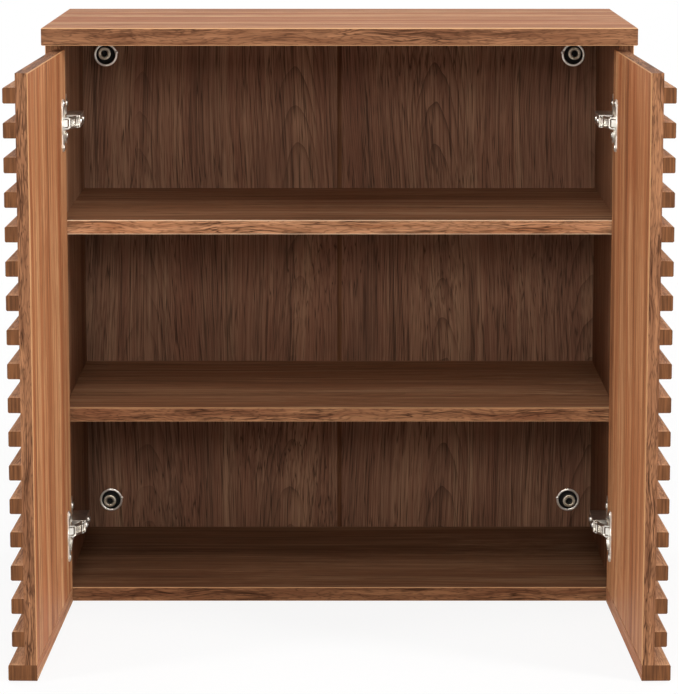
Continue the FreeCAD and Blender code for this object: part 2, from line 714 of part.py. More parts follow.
# ---- mounting plate: two tapered wings against the side and a rail under the arm ----
plates = new_body("hinge_plates_left")
wings = draw(plates, "wings", SECTION, y="lower_hinge_z", z="side_thick")
outline(wings, (
    ("plate_front + plate_taper_width", "0 - plate_half"),
    ("plate_front + plate_width - plate_taper_width", "0 - plate_half"),
    ("plate_front + plate_width", "plate_taper_height - plate_half"),
    ("plate_front + plate_width", "plate_half - plate_taper_height"),
    ("plate_front + plate_width - plate_taper_width", "plate_half"),
    ("plate_front + plate_taper_width", "plate_half"),
    ("plate_front", "plate_half - plate_taper_height"),
    ("plate_front", "plate_taper_height - plate_half"),
))
pad(plates, wings, "plate_thick")
rail_profile = draw(plates, "rail_profile", PLAN, z="lower_hinge_z - plate_rail_half")
outline(rail_profile, (
    ("side_thick", RAIL_FRONT),
    ("plate_rail_top - plate_rail_bevel", RAIL_FRONT),
    ("plate_rail_top", f"{RAIL_FRONT} + plate_rail_bevel"),
    ("plate_rail_top", RAIL_REAR),
    ("side_thick", RAIL_REAR),
))
pad(plates, rail_profile, "2 * plate_rail_half")
prism(plates, "rail_screw_hole",
      ("plate_rail_top - fixing_screw_bite", FIXING_SCREW_BACK, "lower_hinge_z"),
      "arm_screw_r", "fixing_screw_bite", ALONG_X, cut=True)
for step in ("-", "+"):
    prism(plates, "wing_hole", ("side_thick", PLATE_SCREW_BACK, f"lower_hinge_z {step} {PLATE_SCREW_HALF}"),
          "wood_screw_r", "plate_thick", ALONG_X, cut=True)
repeat_up(plates, HINGE_SPACING, "2")

plate_screws = new_body("plate_screws_left")
for step in ("-", "+"):
    level = f"lower_hinge_z {step} {PLATE_SCREW_HALF}"
    prism(plate_screws, "plate_screw_head", ("side_thick + plate_thick", PLATE_SCREW_BACK, level),
          "plate_screw_head_r", "plate_screw_head", ALONG_X)
    prism(plate_screws, "plate_screw_shank", ("side_thick - plate_screw_bite", PLATE_SCREW_BACK, level),
          "wood_screw_r", "plate_screw_bite + plate_thick", ALONG_X)
repeat_up(plate_screws, HINGE_SPACING, "2")

for body in (outer_links, inner_links, arms, arm_pins, arm_screws, plates, plate_screws):
    body.Placement = FreeCAD.Placement(plan_origin, FreeCAD.Rotation())

for body in [node for node in nodes if node.Label.endswith("_left")]:
    if body.Label not in ("side_panel_left", "back_panel_left"):
        mirror_right(body, body.Label.replace("_left", "_right"))

# ---- check every object and write one file per node -----------------------------
doc.recompute()
for obj in doc.Objects:
    if "Invalid" in obj.State or "Error" in obj.State:
        raise RuntimeError(f"{obj.Label} did not compute: {obj.State}")

os.makedirs("parts", exist_ok=True)
for node in nodes:
    shape = node.Shape
    if shape.isNull() or not shape.isValid() or not shape.Solids:
        raise RuntimeError(f"{node.Label} has no sound solid")
    shape.exportStep(f"parts/{node.Label}.step")
    print(f"{node.Label}: {len(shape.Solids)} solid(s), {shape.Volume / 1000:.1f} cm3")
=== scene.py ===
# %% [markdown]
# # Dressing a walnut shoe cabinet
# The cabinet arrives as exact solids: boards, slatted doors and concealed hinges.
# A solid has the right size but no finish, so this lesson gives each board its
# walnut foil, each hinge its nickel, and sets the whole under soft studio light.
# The solids are loaded first, because every later place is measured from them.

# %% Load the solids
import math

import bmesh
import bpy
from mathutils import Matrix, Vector


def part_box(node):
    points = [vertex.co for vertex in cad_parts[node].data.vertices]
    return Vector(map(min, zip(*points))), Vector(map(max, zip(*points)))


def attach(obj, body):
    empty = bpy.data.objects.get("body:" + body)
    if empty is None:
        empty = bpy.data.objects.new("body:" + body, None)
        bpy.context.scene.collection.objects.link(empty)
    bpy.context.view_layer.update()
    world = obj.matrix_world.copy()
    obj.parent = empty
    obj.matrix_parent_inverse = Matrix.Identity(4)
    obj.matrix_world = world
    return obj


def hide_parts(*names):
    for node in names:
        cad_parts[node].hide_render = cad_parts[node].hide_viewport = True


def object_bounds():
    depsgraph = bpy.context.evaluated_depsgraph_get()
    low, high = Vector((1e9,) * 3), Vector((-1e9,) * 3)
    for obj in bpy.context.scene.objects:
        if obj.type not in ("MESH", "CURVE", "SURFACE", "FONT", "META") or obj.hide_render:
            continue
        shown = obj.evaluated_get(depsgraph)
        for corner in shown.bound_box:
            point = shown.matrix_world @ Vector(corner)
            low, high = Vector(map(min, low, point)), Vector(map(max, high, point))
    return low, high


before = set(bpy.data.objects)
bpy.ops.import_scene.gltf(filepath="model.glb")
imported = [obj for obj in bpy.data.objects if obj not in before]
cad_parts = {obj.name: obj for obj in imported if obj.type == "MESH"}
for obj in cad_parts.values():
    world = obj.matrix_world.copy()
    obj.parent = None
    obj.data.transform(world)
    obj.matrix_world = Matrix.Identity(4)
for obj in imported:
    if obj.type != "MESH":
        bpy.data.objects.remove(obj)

MM = 0.001
solid_box = [list(corner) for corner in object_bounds()]
print("solids:", len(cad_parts), "box in metres:", solid_box)

# %% [markdown]
# ## Colours
# Colours are easiest to read as sRGB hex, as on a paint card, but the renderer
# adds light in linear values. The conversion could be typed in by hand for each
# colour; one function does it for all of them.

# %% Turn a hex colour into linear light
def linear(hex_colour):
    """Linear RGBA of an sRGB hex colour."""
    channels = []
    for start in (1, 3, 5):
        value = int(hex_colour[start:start + 2], 16) / 255
        channels.append(value / 12.92 if value <= 0.04045 else ((value + 0.055) / 1.055) ** 2.4)
    return (*channels, 1.0)


print("walnut mid tone in linear values:", [round(v, 3) for v in linear("#a9714f")])

# %% [markdown]
# ## Nodes
# A material is a little network of nodes. It can be wired by hand in the shader
# editor, but in a script each node takes several lines. So one function adds a
# node of any kind, with its own settings, and with values or links for its
# sockets. A second starts a finish with the one shader that every piece here has.

# %% Helpers for nodes
def add(tree, kind, inputs=None, **settings):
    """Add one node; inputs gives its sockets values, or the sockets that feed them."""
    node = tree.nodes.new("ShaderNode" + kind)
    for name, value in settings.items():
        setattr(node, name, value)
    for name, value in (inputs or {}).items():
        if isinstance(value, bpy.types.NodeSocket):
            tree.links.new(value, node.inputs[name])
        else:
            node.inputs[name].default_value = value
    return node


def new_finish(name):
    """An empty material with its shader, ready for a pattern."""
    material = bpy.data.materials.new(name)
    material.use_nodes = True
    material.node_tree.nodes.clear()
    tree = material.node_tree
    shader = add(tree, "BsdfPrincipled")
    add(tree, "OutputMaterial", {"Surface": shader.outputs["BSDF"]})
    return material, tree, shader


print("finishes so far:", len(bpy.data.materials))

# %% [markdown]
# ## Walnut foil
# Common name: walnut-print melamine foil on particle board. The print is pressed
# under a satin plate, so the eye gets long straight streaks, pointed arches where
# the log was cut flat, short dark pores, and a soft sheen without deep gloss.
# The front edges carry a separate edge band with its own, livelier print, and the narrow arris
# between the two gets an ink of its own: on most boards a pale one, a painted highlight for the
# light that the eased edge catches, and on the slats a darker one.
#
# The pattern could be painted as an image, but a procedural one has no seams and
# any size. It works in the solid's own coordinates, so it moves with the doors.
# Every layer is one noise, stretched along the grain by its real size: how long
# it is along the grain and how wide across it, in millimetres.

# %% Stretched noise
SHIFT_SHARES = (1.0, 0.7, 1.3)
SPREAD, DETAIL = 0.16, 2.0


def stretched(tree, point, grain, size, shift=0.0):
    """Coordinates in which a blotch of size 1 has that length and width in millimetres."""
    length, width = size
    scales = [1000 / width] * 3
    scales["xyz".index(grain)] = 1000 / length
    mapping = add(tree, "Mapping", {
        "Vector": point,
        "Scale": scales,
        "Location": [shift * share for share in SHIFT_SHARES],
    })
    return mapping.outputs["Vector"]


def layer(tree, point, grain, size, shift, spread=SPREAD, detail=DETAIL):
    """One stretched noise, pulled apart so that it runs from 0 to 1."""
    noise = add(tree, "TexNoise", {
        "Vector": stretched(tree, point, grain, size, shift),
        "Scale": 1.0, "Detail": detail, "Roughness": 0.55,
    })
    full = add(tree, "MapRange", {
        "Value": noise.outputs["Fac"], "From Min": 0.5 - spread, "From Max": 0.5 + spread,
    })
    return full.outputs["Result"]


print("a noise is pulled apart from", 0.5 - SPREAD, "to", 0.5 + SPREAD)

# %% [markdown]
# ## Thin lines and wandering grain
# Fine dark lines run through real walnut, and no grain is quite straight. A line
# could be drawn as a curve, but there are thousands of them. A noise gives them
# all at once: it passes its middle value along long thin paths, so the places
# near that value are the lines. For the wandering, a second, much larger noise
# moves the coordinates sideways before any other layer is read from them.

# %% Thin lines and wandering grain
def thin_lines(tree, point, grain, size, shift, thick):
    """Thin lines, 1 on the line and 0 off it, where a stretched noise passes its middle value."""
    noise = add(tree, "TexNoise", {
        "Vector": stretched(tree, point, grain, size, shift), "Scale": 1.0, "Detail": 1.5,
    })
    past = add(tree, "Math", {0: noise.outputs["Fac"], 1: 0.5}, operation="SUBTRACT")
    distance = add(tree, "Math", {0: past.outputs["Value"]}, operation="ABSOLUTE")
    line = add(tree, "MapRange", {
        "Value": distance.outputs["Value"], "From Max": thick, "To Min": 1.0, "To Max": 0.0,
    })
    return line.outputs["Result"]


def wandering(tree, point, grain, size, reach_mm, shift):
    """The same coordinates with the grain wandering sideways by up to half of reach_mm."""
    drift = add(tree, "TexNoise", {
        "Vector": stretched(tree, point, grain, size, shift), "Scale": 1.0, "Detail": 1.0,
    })
    centred = add(tree, "VectorMath", {0: drift.outputs["Color"], 1: (0.5, 0.5, 0.5)},
                  operation="SUBTRACT")
    reach = [reach_mm * MM] * 3
    reach["xyz".index(grain)] = 0.0
    sideways = add(tree, "VectorMath", {0: centred.outputs["Vector"], 1: reach},
                   operation="MULTIPLY")
    moved = add(tree, "VectorMath", {0: point, 1: sideways.outputs["Vector"]}, operation="ADD")
    return moved.outputs["Vector"]


WANDER_SIZE, WANDER_REACH = (420, 160), 34.0
print("the grain wanders up to", WANDER_REACH / 2, "mm to either side")

# %% [markdown]
# ## One ink over another
# A print is built up ink by ink. An ink covers the ground where its share is 1
# and leaves it bare where the share is 0, which is what the Mix node does, and a
# thinner ink is the same share made weaker. One helper does both, so each line of
# a recipe reads as a printer would say it: ground, ink, where, and how strong.

# %% Print one ink over another
FULL_STRENGTH = 1.0


def printed(tree, ground, ink, where, strength=FULL_STRENGTH):
    """Print an ink over a ground; where is a share from 0 to 1, and strength thins it."""
    if strength < FULL_STRENGTH:
        where = add(tree, "Math", {0: where, 1: strength}, operation="MULTIPLY").outputs["Value"]
    # a Mix node has sockets for every type of value: 6 and 7 take colours, and 2 gives one
    return add(tree, "Mix", {0: where, 6: ground, 7: ink}, data_type="RGBA").outputs[2]


print("an ink prints at strength", FULL_STRENGTH, "unless a thinner one is asked for")

# %% [markdown]
# ## The print on the broad faces
# Walnut shows its age in three sizes: bands two fingers wide, streaks as wide as
# a pencil, and fibres. Single fibres are too fine to show, so bundles of them are
# drawn, 2.2 mm wide. One noise is made for each size, and their mixture runs from
# a deep to a light tone, with some streaks turned towards red. Each layer is cut
# from its own place in the endless noise, so no two line up. Sizes are lengths
# along the grain and widths across it, in millimetres.

# %% Streaks of the broad faces
WALNUT = {
    "light": "#cfa27a", "mid": "#ac7853", "deep": "#85553a", "red": "#a4623f",
    # arris: a paler ink for the eased edges, a painted highlight
    "line": "#5c3724", "pore": "#482c1d", "arris": "#c99b71",
    "band_light": "#9f714f", "band_mid": "#774e35", "band_dark": "#3a2113",
    "end_light": "#734a2e", "end_dark": "#543521",
}
BAND_SIZE, STREAK_SIZE = (1400, 38), (520, 9)
FIBRE_SIZE, RED_SIZE = (170, 2.2), (1100, 17)
PLACE_OF = {"bands": 3.1, "streaks": 7.7, "fibres": 11.3, "red": 19.9}
STRENGTH_OF = {"red": 0.6}
FIBRE_SHARE = 0.3
DEEP_END, LIGHT_END = 0.2, 0.8


def streaks_of(tree, wavy, grain, shift, inks, spread, fine, lively):
    """The streaked ground of a face, and its fibres for the sheen."""
    streak_size = (STREAK_SIZE[0], STREAK_SIZE[1] * fine)
    bands = layer(tree, wavy, grain, BAND_SIZE, shift + PLACE_OF["bands"], spread)
    streaks = layer(tree, wavy, grain, streak_size, shift + PLACE_OF["streaks"], spread, detail=3.0)
    fibres = layer(tree, wavy, grain, FIBRE_SIZE, shift + PLACE_OF["fibres"])
    coarse = add(tree, "Mix", {0: lively, 2: bands, 3: streaks}, data_type="FLOAT").outputs[0]
    tone = add(tree, "Mix", {0: FIBRE_SHARE, 2: coarse, 3: fibres}, data_type="FLOAT").outputs[0]
    ramp = add(tree, "ValToRGB", {"Fac": tone})
    deep, light = ramp.color_ramp.elements
    deep.position, deep.color = DEEP_END, inks["deep"]
    light.position, light.color = LIGHT_END, inks["light"]
    ramp.color_ramp.elements.new((DEEP_END + LIGHT_END) / 2).color = inks["mid"]
    reddish = layer(tree, wavy, grain, RED_SIZE, shift + PLACE_OF["red"], spread, detail=1.0)
    return printed(tree, ramp.outputs["Color"], inks["red"], reddish, STRENGTH_OF["red"]), fibres


print("streaks drawn", STREAK_SIZE[1], "mm wide and", STREAK_SIZE[0], "mm long")

# %% [markdown]
# ## Arches of the flat-cut leaves
# A log sliced flat gives leaves of veneer, and in each the yearly rings show as a
# stack of pointed arches. A ring is a line where one number is constant, so the
# arches need only that number: it rises along the grain and falls away from the
# leaf's middle by the square of the distance. Its fraction repeats for each ring,
# and a high power keeps only the narrow dark late wood.

# %% Arches of the flat-cut leaves
LEAF_WIDTH, ARCH_RISE, ARCH_BOW = 170.0, 48.0, 0.0028
LEAF_START, LEAF_STEP, LATE_WOOD = 2000, 31, 5.0
RAGGED_SIZE, RAGGED_REACH, BROKEN_SIZE = (190, 30), 1.1, (260, 40)
PLACE_OF.update(ragged=2.2, broken=5.5)


def measured_along(tree, point, axis, scale):
    """How far a point lies along an axis, in metres times a scale."""
    ruler = [scale if letter == axis else 0.0 for letter in "xyz"]
    return add(tree, "VectorMath", {0: point, 1: ruler}, operation="DOT_PRODUCT").outputs["Value"]


def arches_of(tree, wavy, grain, across, shift):
    """Late-wood lines: rings that rise along the grain and bow away from each leaf's middle."""
    aside = measured_along(tree, wavy, across, 1000)
    run = measured_along(tree, wavy, grain, 1000 / ARCH_RISE)
    moved = add(tree, "Math", {0: aside, 1: LEAF_START + shift * LEAF_STEP},
                operation="ADD").outputs["Value"]
    leaf = add(tree, "Math", {0: moved, 1: LEAF_WIDTH / 2}, operation="PINGPONG").outputs["Value"]
    bow = add(tree, "Math", {0: leaf, 1: 2.0}, operation="POWER").outputs["Value"]
    rings = add(tree, "Math", {0: bow, 1: ARCH_BOW, 2: run},
                operation="MULTIPLY_ADD").outputs["Value"]
    ragged = add(tree, "TexNoise", {
        "Vector": stretched(tree, wavy, grain, RAGGED_SIZE, shift + PLACE_OF["ragged"]),
        "Scale": 1.0, "Detail": 2.0,
    }).outputs["Fac"]
    uneven = add(tree, "Math", {0: ragged, 1: RAGGED_REACH, 2: rings}, operation="MULTIPLY_ADD")
    phase = add(tree, "Math", {0: uneven.outputs["Value"]}, operation="FRACT").outputs["Value"]
    late = add(tree, "Math", {0: phase, 1: LATE_WOOD}, operation="POWER").outputs["Value"]
    broken = layer(tree, wavy, grain, BROKEN_SIZE, shift + PLACE_OF["broken"])
    return add(tree, "Math", {0: late, 1: broken}, operation="MULTIPLY").outputs["Value"]


print("a leaf of veneer is", LEAF_WIDTH, "mm wide; its arches rise", ARCH_RISE, "mm apart")

# %% [markdown]
# ## Hairlines and pores
# Single dark hairlines run the length of a board, and the open pores of walnut
# show as short dark dashes. Both are printed on the foil, and the pores are also
# pressed into it. Real pores are 0.3 mm wide; they are drawn 1 mm wide so that
# they show.

# %% Print of a broad face
HAIRLINE_SIZE, PORE_SIZE = (420, 3.2), (34, 1.0)
HAIRLINE_THICK, PORE_FROM, PORE_TO = 0.035, 0.56, 0.72
PLACE_OF.update(hairlines=31.0, pores=23.0)
STRENGTH_OF.update(pores=0.48)


def broad_face(tree, point, grain, across, shift, inks, figure, hairs, spread, fine, lively):
    """The colour of a broad face, with its fibres and pores for the sheen and the relief."""
    wavy = wandering(tree, point, grain, WANDER_SIZE, WANDER_REACH, shift)
    colour, fibres = streaks_of(tree, wavy, grain, shift, inks, spread, fine, lively)
    late = arches_of(tree, wavy, grain, across, shift)
    colour = printed(tree, colour, inks["line"], late, figure)
    hairlines = thin_lines(tree, wavy, grain, HAIRLINE_SIZE, shift + PLACE_OF["hairlines"],
                           HAIRLINE_THICK)
    colour = printed(tree, colour, inks["line"], hairlines, hairs)
    pore_noise = add(tree, "TexNoise", {
        "Vector": stretched(tree, wavy, grain, PORE_SIZE, shift + PLACE_OF["pores"]),
        "Scale": 1.0, "Detail": 1.0,
    }).outputs["Fac"]
    pores = add(tree, "MapRange", {
        "Value": pore_noise, "From Min": PORE_FROM, "From Max": PORE_TO,
    }).outputs["Result"]
    colour = printed(tree, colour, inks["pore"], pores, STRENGTH_OF["pores"])
    return colour, fibres, pores


print("pores drawn", PORE_SIZE[0], "mm long and", PORE_SIZE[1], "mm wide")

# %% [markdown]
# ## The edge band
# The band on the front edges is a thin strip with a print of its own: a lighter
# ground crossed by thin dark flames that lean a little. The print always runs
# along the strip, so on the ends of a board the two directions change places.

# %% Print of the edge band
LEAN_SIZE, LEAN_REACH = (75, 60), 12.0
GROUND_SIZE, FLAME_SIZE, SHOWN_SIZE, FLECK_SIZE = (130, 7), (62, 2.4), (110, 8), (20, 2)
FLAME_THICK, SHOWN_SPREAD, FLECK_THICK = 0.09, 0.1, 0.08
PLACE_OF.update(lean=41.0, ground=43.0, flames=45.0, shown=46.0, flecks=47.0)
STRENGTH_OF.update(flames=0.95, flecks=0.55)


def along_the_strip(tree, point, grain, across, end_on):
    """Coordinates whose grain runs along the strip, on the ends of a board too."""
    parts = add(tree, "SeparateXYZ", {"Vector": point})
    order = [0, 1, 2]
    first, second = "xyz".index(grain), "xyz".index(across)
    order[first], order[second] = second, first
    swapped = add(tree, "CombineXYZ", {index: parts.outputs[order[index]] for index in range(3)})
    # a Mix node takes vectors in its sockets 4 and 5
    chosen = add(tree, "Mix", {0: end_on, 4: point, 5: swapped.outputs["Vector"]},
                 data_type="VECTOR")
    return chosen.outputs[1]


def band_print(tree, strip, grain, shift, inks):
    """The colour of the edge band."""
    leaning = wandering(tree, strip, grain, LEAN_SIZE, LEAN_REACH, shift + PLACE_OF["lean"])
    ground = layer(tree, leaning, grain, GROUND_SIZE, shift + PLACE_OF["ground"])
    colour = printed(tree, inks["band_mid"], inks["band_light"], ground)
    flames = thin_lines(tree, leaning, grain, FLAME_SIZE, shift + PLACE_OF["flames"], FLAME_THICK)
    shown = layer(tree, leaning, grain, SHOWN_SIZE, shift + PLACE_OF["shown"], SHOWN_SPREAD,
                  detail=1.0)
    flames = add(tree, "Math", {0: flames, 1: shown}, operation="MULTIPLY").outputs["Value"]
    colour = printed(tree, colour, inks["band_dark"], flames, STRENGTH_OF["flames"])
    flecks = thin_lines(tree, leaning, grain, FLECK_SIZE, shift + PLACE_OF["flecks"], FLECK_THICK)
    return printed(tree, colour, inks["band_dark"], flecks, STRENGTH_OF["flecks"])


print("flames drawn", FLAME_SIZE[1], "mm apart and", FLAME_SIZE[0], "mm long")

# %% [markdown]
# ## Sawn ends and bare hardboard
# A slat's ends have no band, so they show sawn board under a thin stain. The rear
# of a back board has no print at all but bare hardboard: brown wood fibre pressed
# flat under heat. It gives the eye a soft, even brown, mottled, with short pale
# hairs of fibre. Both are layers like those of the print, only shorter.

# %% Sawn ends and bare hardboard
HARDBOARD = {"deep": "#7c5a3d", "light": "#8f6b4a", "hair": "#ad8a64"}
SAWN_SIZE, MOTTLE_SIZE, FLUFF_SIZE = (40, 2), (13, 10), (8, 2.4)
MOTTLE_SPREAD, FLUFF_THICK = 0.22, 0.06
PLACE_OF.update(sawn=53.0, mottle=61.0, fluff=63.0)
STRENGTH_OF.update(fluff=0.3)


def sawn_end(tree, strip, grain, shift, inks):
    """Sawn board under stain."""
    sawn = layer(tree, strip, grain, SAWN_SIZE, shift + PLACE_OF["sawn"])
    return printed(tree, inks["end_dark"], inks["end_light"], sawn)


def hardboard(tree, point, shift):
    """Bare hardboard: brown fibre pressed flat, mottled, with short pale hairs."""
    mottled = layer(tree, point, "x", MOTTLE_SIZE, shift + PLACE_OF["mottle"], MOTTLE_SPREAD,
                    detail=4.0)
    fluff = thin_lines(tree, point, "z", FLUFF_SIZE, shift + PLACE_OF["fluff"], FLUFF_THICK)
    colour = printed(tree, linear(HARDBOARD["deep"]), linear(HARDBOARD["light"]), mottled)
    return printed(tree, colour, linear(HARDBOARD["hair"]), fluff, STRENGTH_OF["fluff"])


print("hardboard mottled every", MOTTLE_SIZE[0], "mm")

# %% [markdown]
# ## Which way a spot looks
# The same board shows three colours: the print of the broad face, the print of the strip round it,
# and on the slanting arris between them an ink of its own, mostly a painted highlight. They could be
# three materials on picked faces, but the normal already tells them apart. It is a unit vector, so
# on a flat side one of its parts is nearly 1, and on the arris none is.

# %% Tell face, end and arris apart
LOOKS_ALONG, SLANTS_BELOW = 0.5, 0.93


def side_of(tree, normal, grain, face):
    """Whether a spot lies on the face, on an end, and on an arris: 1 or 0 each."""
    size_of = add(tree, "VectorMath", {0: normal}, operation="ABSOLUTE").outputs["Vector"]
    parts = add(tree, "SeparateXYZ", {"Vector": size_of})
    is_face, is_end = [
        add(tree, "Math", {0: parts.outputs["xyz".index(axis)], 1: LOOKS_ALONG},
            operation="GREATER_THAN").outputs["Value"]
        for axis in (face, grain)
    ]
    first_two = add(tree, "Math", {0: parts.outputs[0], 1: parts.outputs[1]}, operation="MAXIMUM")
    largest = add(tree, "Math", {0: first_two.outputs["Value"], 1: parts.outputs[2]},
                  operation="MAXIMUM").outputs["Value"]
    is_arris = add(tree, "Math", {0: largest, 1: SLANTS_BELOW},
                   operation="LESS_THAN").outputs["Value"]
    return is_face, is_end, is_arris


def looks_back(tree, normal, face):
    """Whether a spot looks to the rear: 1 or 0."""
    own = add(tree, "SeparateXYZ", {"Vector": normal}).outputs["xyz".index(face)]
    return add(tree, "Math", {0: own, 1: LOOKS_ALONG}, operation="GREATER_THAN").outputs["Value"]


print("a normal counts as an arris when its largest part is under", SLANTS_BELOW)

# %% [markdown]
# ## The satin surface
# Melamine resin has an IOR of about 1.5. Its press plate is satin, so the
# roughness is middling, a little lower on the hard fibres, and the reflection is
# held weak, as on a matt-sealed print. The pores are a bump: as real hollows they
# would need millions of faces.

# %% The satin surface
ROUGH_DULL, ROUGH_BRIGHT = 0.61, 0.52
PORE_DEPTH = 0.12
FOIL_IOR, FOIL_SPECULAR = 1.48, 0.06


def satin_surface(tree, shader, fibres, pores):
    """The press plate's satin texture: dull in general, a little brighter on the fibres."""
    dull = add(tree, "MapRange", {"Value": fibres, "To Min": ROUGH_DULL, "To Max": ROUGH_BRIGHT})
    tree.links.new(dull.outputs["Result"], shader.inputs["Roughness"])
    relief = add(tree, "Bump", {
        "Height": pores, "Strength": 0.35, "Distance": PORE_DEPTH * MM,
    }, invert=True)
    tree.links.new(relief.outputs["Normal"], shader.inputs["Normal"])
    shader.inputs["IOR"].default_value = FOIL_IOR
    shader.inputs["Specular IOR Level"].default_value = FOIL_SPECULAR


print("pores pressed", PORE_DEPTH, "mm deep")

# %% [markdown]
# ## The whole foil
# The foil puts the prints in their places and gives them their surface. The doors
# stand open, so their slats lie almost along y, while their print was made for x.
# Their coordinates could be made with an empty as a guide, but it is simpler to
# turn the coordinates back before the print is read.

# %% Put the foil together
# the arris ink is a painted highlight, printed nearly at full strength
STRENGTH_OF.update(arris=0.92)


def turned_back(tree, vector, turn):
    """The same vector turned round the upright axis by a number of degrees."""
    return add(tree, "VectorRotate", {"Vector": vector, "Angle": math.radians(turn)},
               rotation_type="Z_AXIS").outputs["Vector"]


def walnut_foil(name, way, shift, tones, turn=0.0, figure=0.5, hairs=0.3, spread=SPREAD,
                fine=1.0, lively=0.55, plain_ends=False, bare_rear=False):
    """Walnut foil; way names the axes along the grain, across it, and out of the face.

    figure and hairs are the strengths of the arches and hairlines, a smaller spread
    has more contrast, fine makes the streaks wider, and lively favours them over bands.
    """
    material, tree, shader = new_finish("walnut_foil_" + name)
    grain, across, face = way
    inks = {ink: linear(tone) for ink, tone in (WALNUT | tones).items()}
    place = add(tree, "TexCoord")
    point, normal = place.outputs["Object"], place.outputs["Normal"]
    if turn:
        point = turned_back(tree, point, turn)
        normal = turned_back(tree, normal, turn)
    colour, fibres, pores = broad_face(tree, point, grain, across, shift, inks,
                                       figure, hairs, spread, fine, lively)
    is_face, is_end, is_arris = side_of(tree, normal, grain, face)
    strip = along_the_strip(tree, point, grain, across, is_end)
    band = band_print(tree, strip, grain, shift, inks)
    if plain_ends:
        band = printed(tree, band, sawn_end(tree, strip, grain, shift, inks), is_end)
    colour = printed(tree, band, colour, is_face)
    # painted highlight: the arris gets its own ink, paler than the face on most boards
    colour = printed(tree, colour, inks["arris"], is_arris, STRENGTH_OF["arris"])
    if bare_rear:
        rear = hardboard(tree, point, shift)
        colour = printed(tree, colour, rear, looks_back(tree, normal, face))
    tree.links.new(colour, shader.inputs["Base Color"])
    satin_surface(tree, shader, fibres, pores)
    return material


print("ink strengths:", STRENGTH_OF)

# %% [markdown]
# ## Tones of the lying boards
# The lying boards are lit and shaded copies of one print. The shelves are greyer and darker than the
# top, and the bottom darker still: painted shade for the dim inside of the cabinet. The lower shelf
# has a brighter band than the rest, and the upper shelf the palest: painted light that falls off
# downward. Each could be a print of its own, but one print serves them all, so a set of tones only
# names those in which it differs.

# %% Tones of the lying boards
TOP = {
    "light": "#c99d75", "mid": "#a67450", "deep": "#7f5137",
    "band_light": "#916547", "band_mid": "#6b452e",
}
# painted shade: greyer, darker tones for the shelves inside the cabinet
SHADED_SHELF = {
    "light": "#c49e7c", "mid": "#9f7555", "deep": "#77543e", "red": "#986547",
    "line": "#523626",
}
# painted shade: the lowest board gets the darkest tones
SHADED_BOTTOM = {
    "light": "#a18163", "mid": "#846046", "deep": "#634533", "red": "#7d5339",
    "line": "#442d20",
}
# painted light: a brighter band for the lower shelf
LIT_LOWER_BAND = {
    "band_light": "#ab7b57", "band_mid": "#84583d",
}
# painted light: the palest band for the upper shelf, and a nearly white arris as a painted highlight
LIT_UPPER_BAND = {
    "band_light": "#cb956e", "band_mid": "#a46f4c", "band_dark": "#472a18",
    "arris": "#f8dcb9",
}
print("the top changes", len(TOP), "of the", len(WALNUT), "tones, a shelf", len(SHADED_SHELF))

# %% [markdown]
# ## Tones of the standing boards and slats
# The sides carry darker, duller tones than the doors: painted shade for the dim inside of the
# cabinet, laid on the whole panel. The thin back boards also get darker, duller tones, and the strip
# over the joint of the back darker, plainer ones still. The doors are cut from the warmest sheet,
# and their slats are the palest of all.

# %% Tones of the standing boards and slats
# painted shade: the sides' tones are darkened for the dim inside of the cabinet
SHADED_UPRIGHT = {
    "light": "#b08a6c", "mid": "#8d664b", "deep": "#6c4b38", "red": "#875b42",
    "line": "#47301f",
}
DOOR = {
    "light": "#d3a477", "mid": "#b27b53", "deep": "#7d4e34", "red": "#a7623d",
    "band_light": "#9b6c4c", "band_mid": "#744c34", "arris": "#b98a60",
}
SLAT = {
    "light": "#d5a97f", "mid": "#b5835c", "deep": "#8a5c40",
    "band_light": "#cd9b72", "band_mid": "#b1825c", "band_dark": "#7d553a",
    "arris": "#8f6546",
}
BACK = {
    "light": "#b18c6d", "mid": "#8f6a53", "deep": "#6b4e3d", "red": "#8d604a",
    "line": "#3f2a1e", "pore": "#38261b", "arris": "#94714f",
    "band_light": "#8d6a50", "band_mid": "#6d5040", "band_dark": "#40291b",
}
STRIP = {
    "light": "#795438", "mid": "#603e28", "deep": "#472c1c", "red": "#5e3722",
}
print("the back changes", len(BACK), "tones, and its strip", len(STRIP), "of those")

# %% [markdown]
# ## One foil for each way the grain runs
# On a real cabinet the grain follows the longest side of each board: across the
# top and the shelves, up the sides, the doors and the back, along each slat. So
# the same print is made once for each direction, and from its own place in the
# endless pattern, as each board is cut from its own part of a roll.

# %% Make the walnut foils
OPEN_TURN = 91.5
LYING, STANDING, BEHIND, SLATTED = "xyz", "zyx", "zxy", "xzy"

shelf_look = {"figure": 0.35, "spread": 0.22}
FOILS = {
    "top": (LYING, 0.0, TOP, {"figure": 0.35}),
    # painted shade on the shelves and the bottom, painted light in the shelves' bands
    "upper_shelf": (LYING, 2.5, SHADED_SHELF | LIT_UPPER_BAND, shelf_look),
    "lower_shelf": (LYING, 3.5, SHADED_SHELF | LIT_LOWER_BAND, shelf_look),
    "bottom": (LYING, 6.5, SHADED_BOTTOM, shelf_look),
    # painted shade: the sides take darkened tones
    "upright": (STANDING, 5.0, SHADED_UPRIGHT, {}),
    "door": (STANDING, 9.0, DOOR, {
        "figure": 0.3, "hairs": 0.12, "spread": 0.12, "fine": 1.3, "lively": 0.42,
    }),
    "back": (BEHIND, 14.0, BACK, {
        "figure": 0.7, "hairs": 0.8, "spread": 0.24, "fine": 0.8, "lively": 0.35,
        "bare_rear": True,
    }),
    "joint_strip": (BEHIND, 33.0, BACK | STRIP, {
        "figure": 0.0, "spread": 0.12, "bare_rear": True,
    }),
    "slat_left": (SLATTED, 21.0, SLAT, {"turn": OPEN_TURN, "plain_ends": True}),
    "slat_right": (SLATTED, 27.0, SLAT, {"turn": -OPEN_TURN, "plain_ends": True}),
}
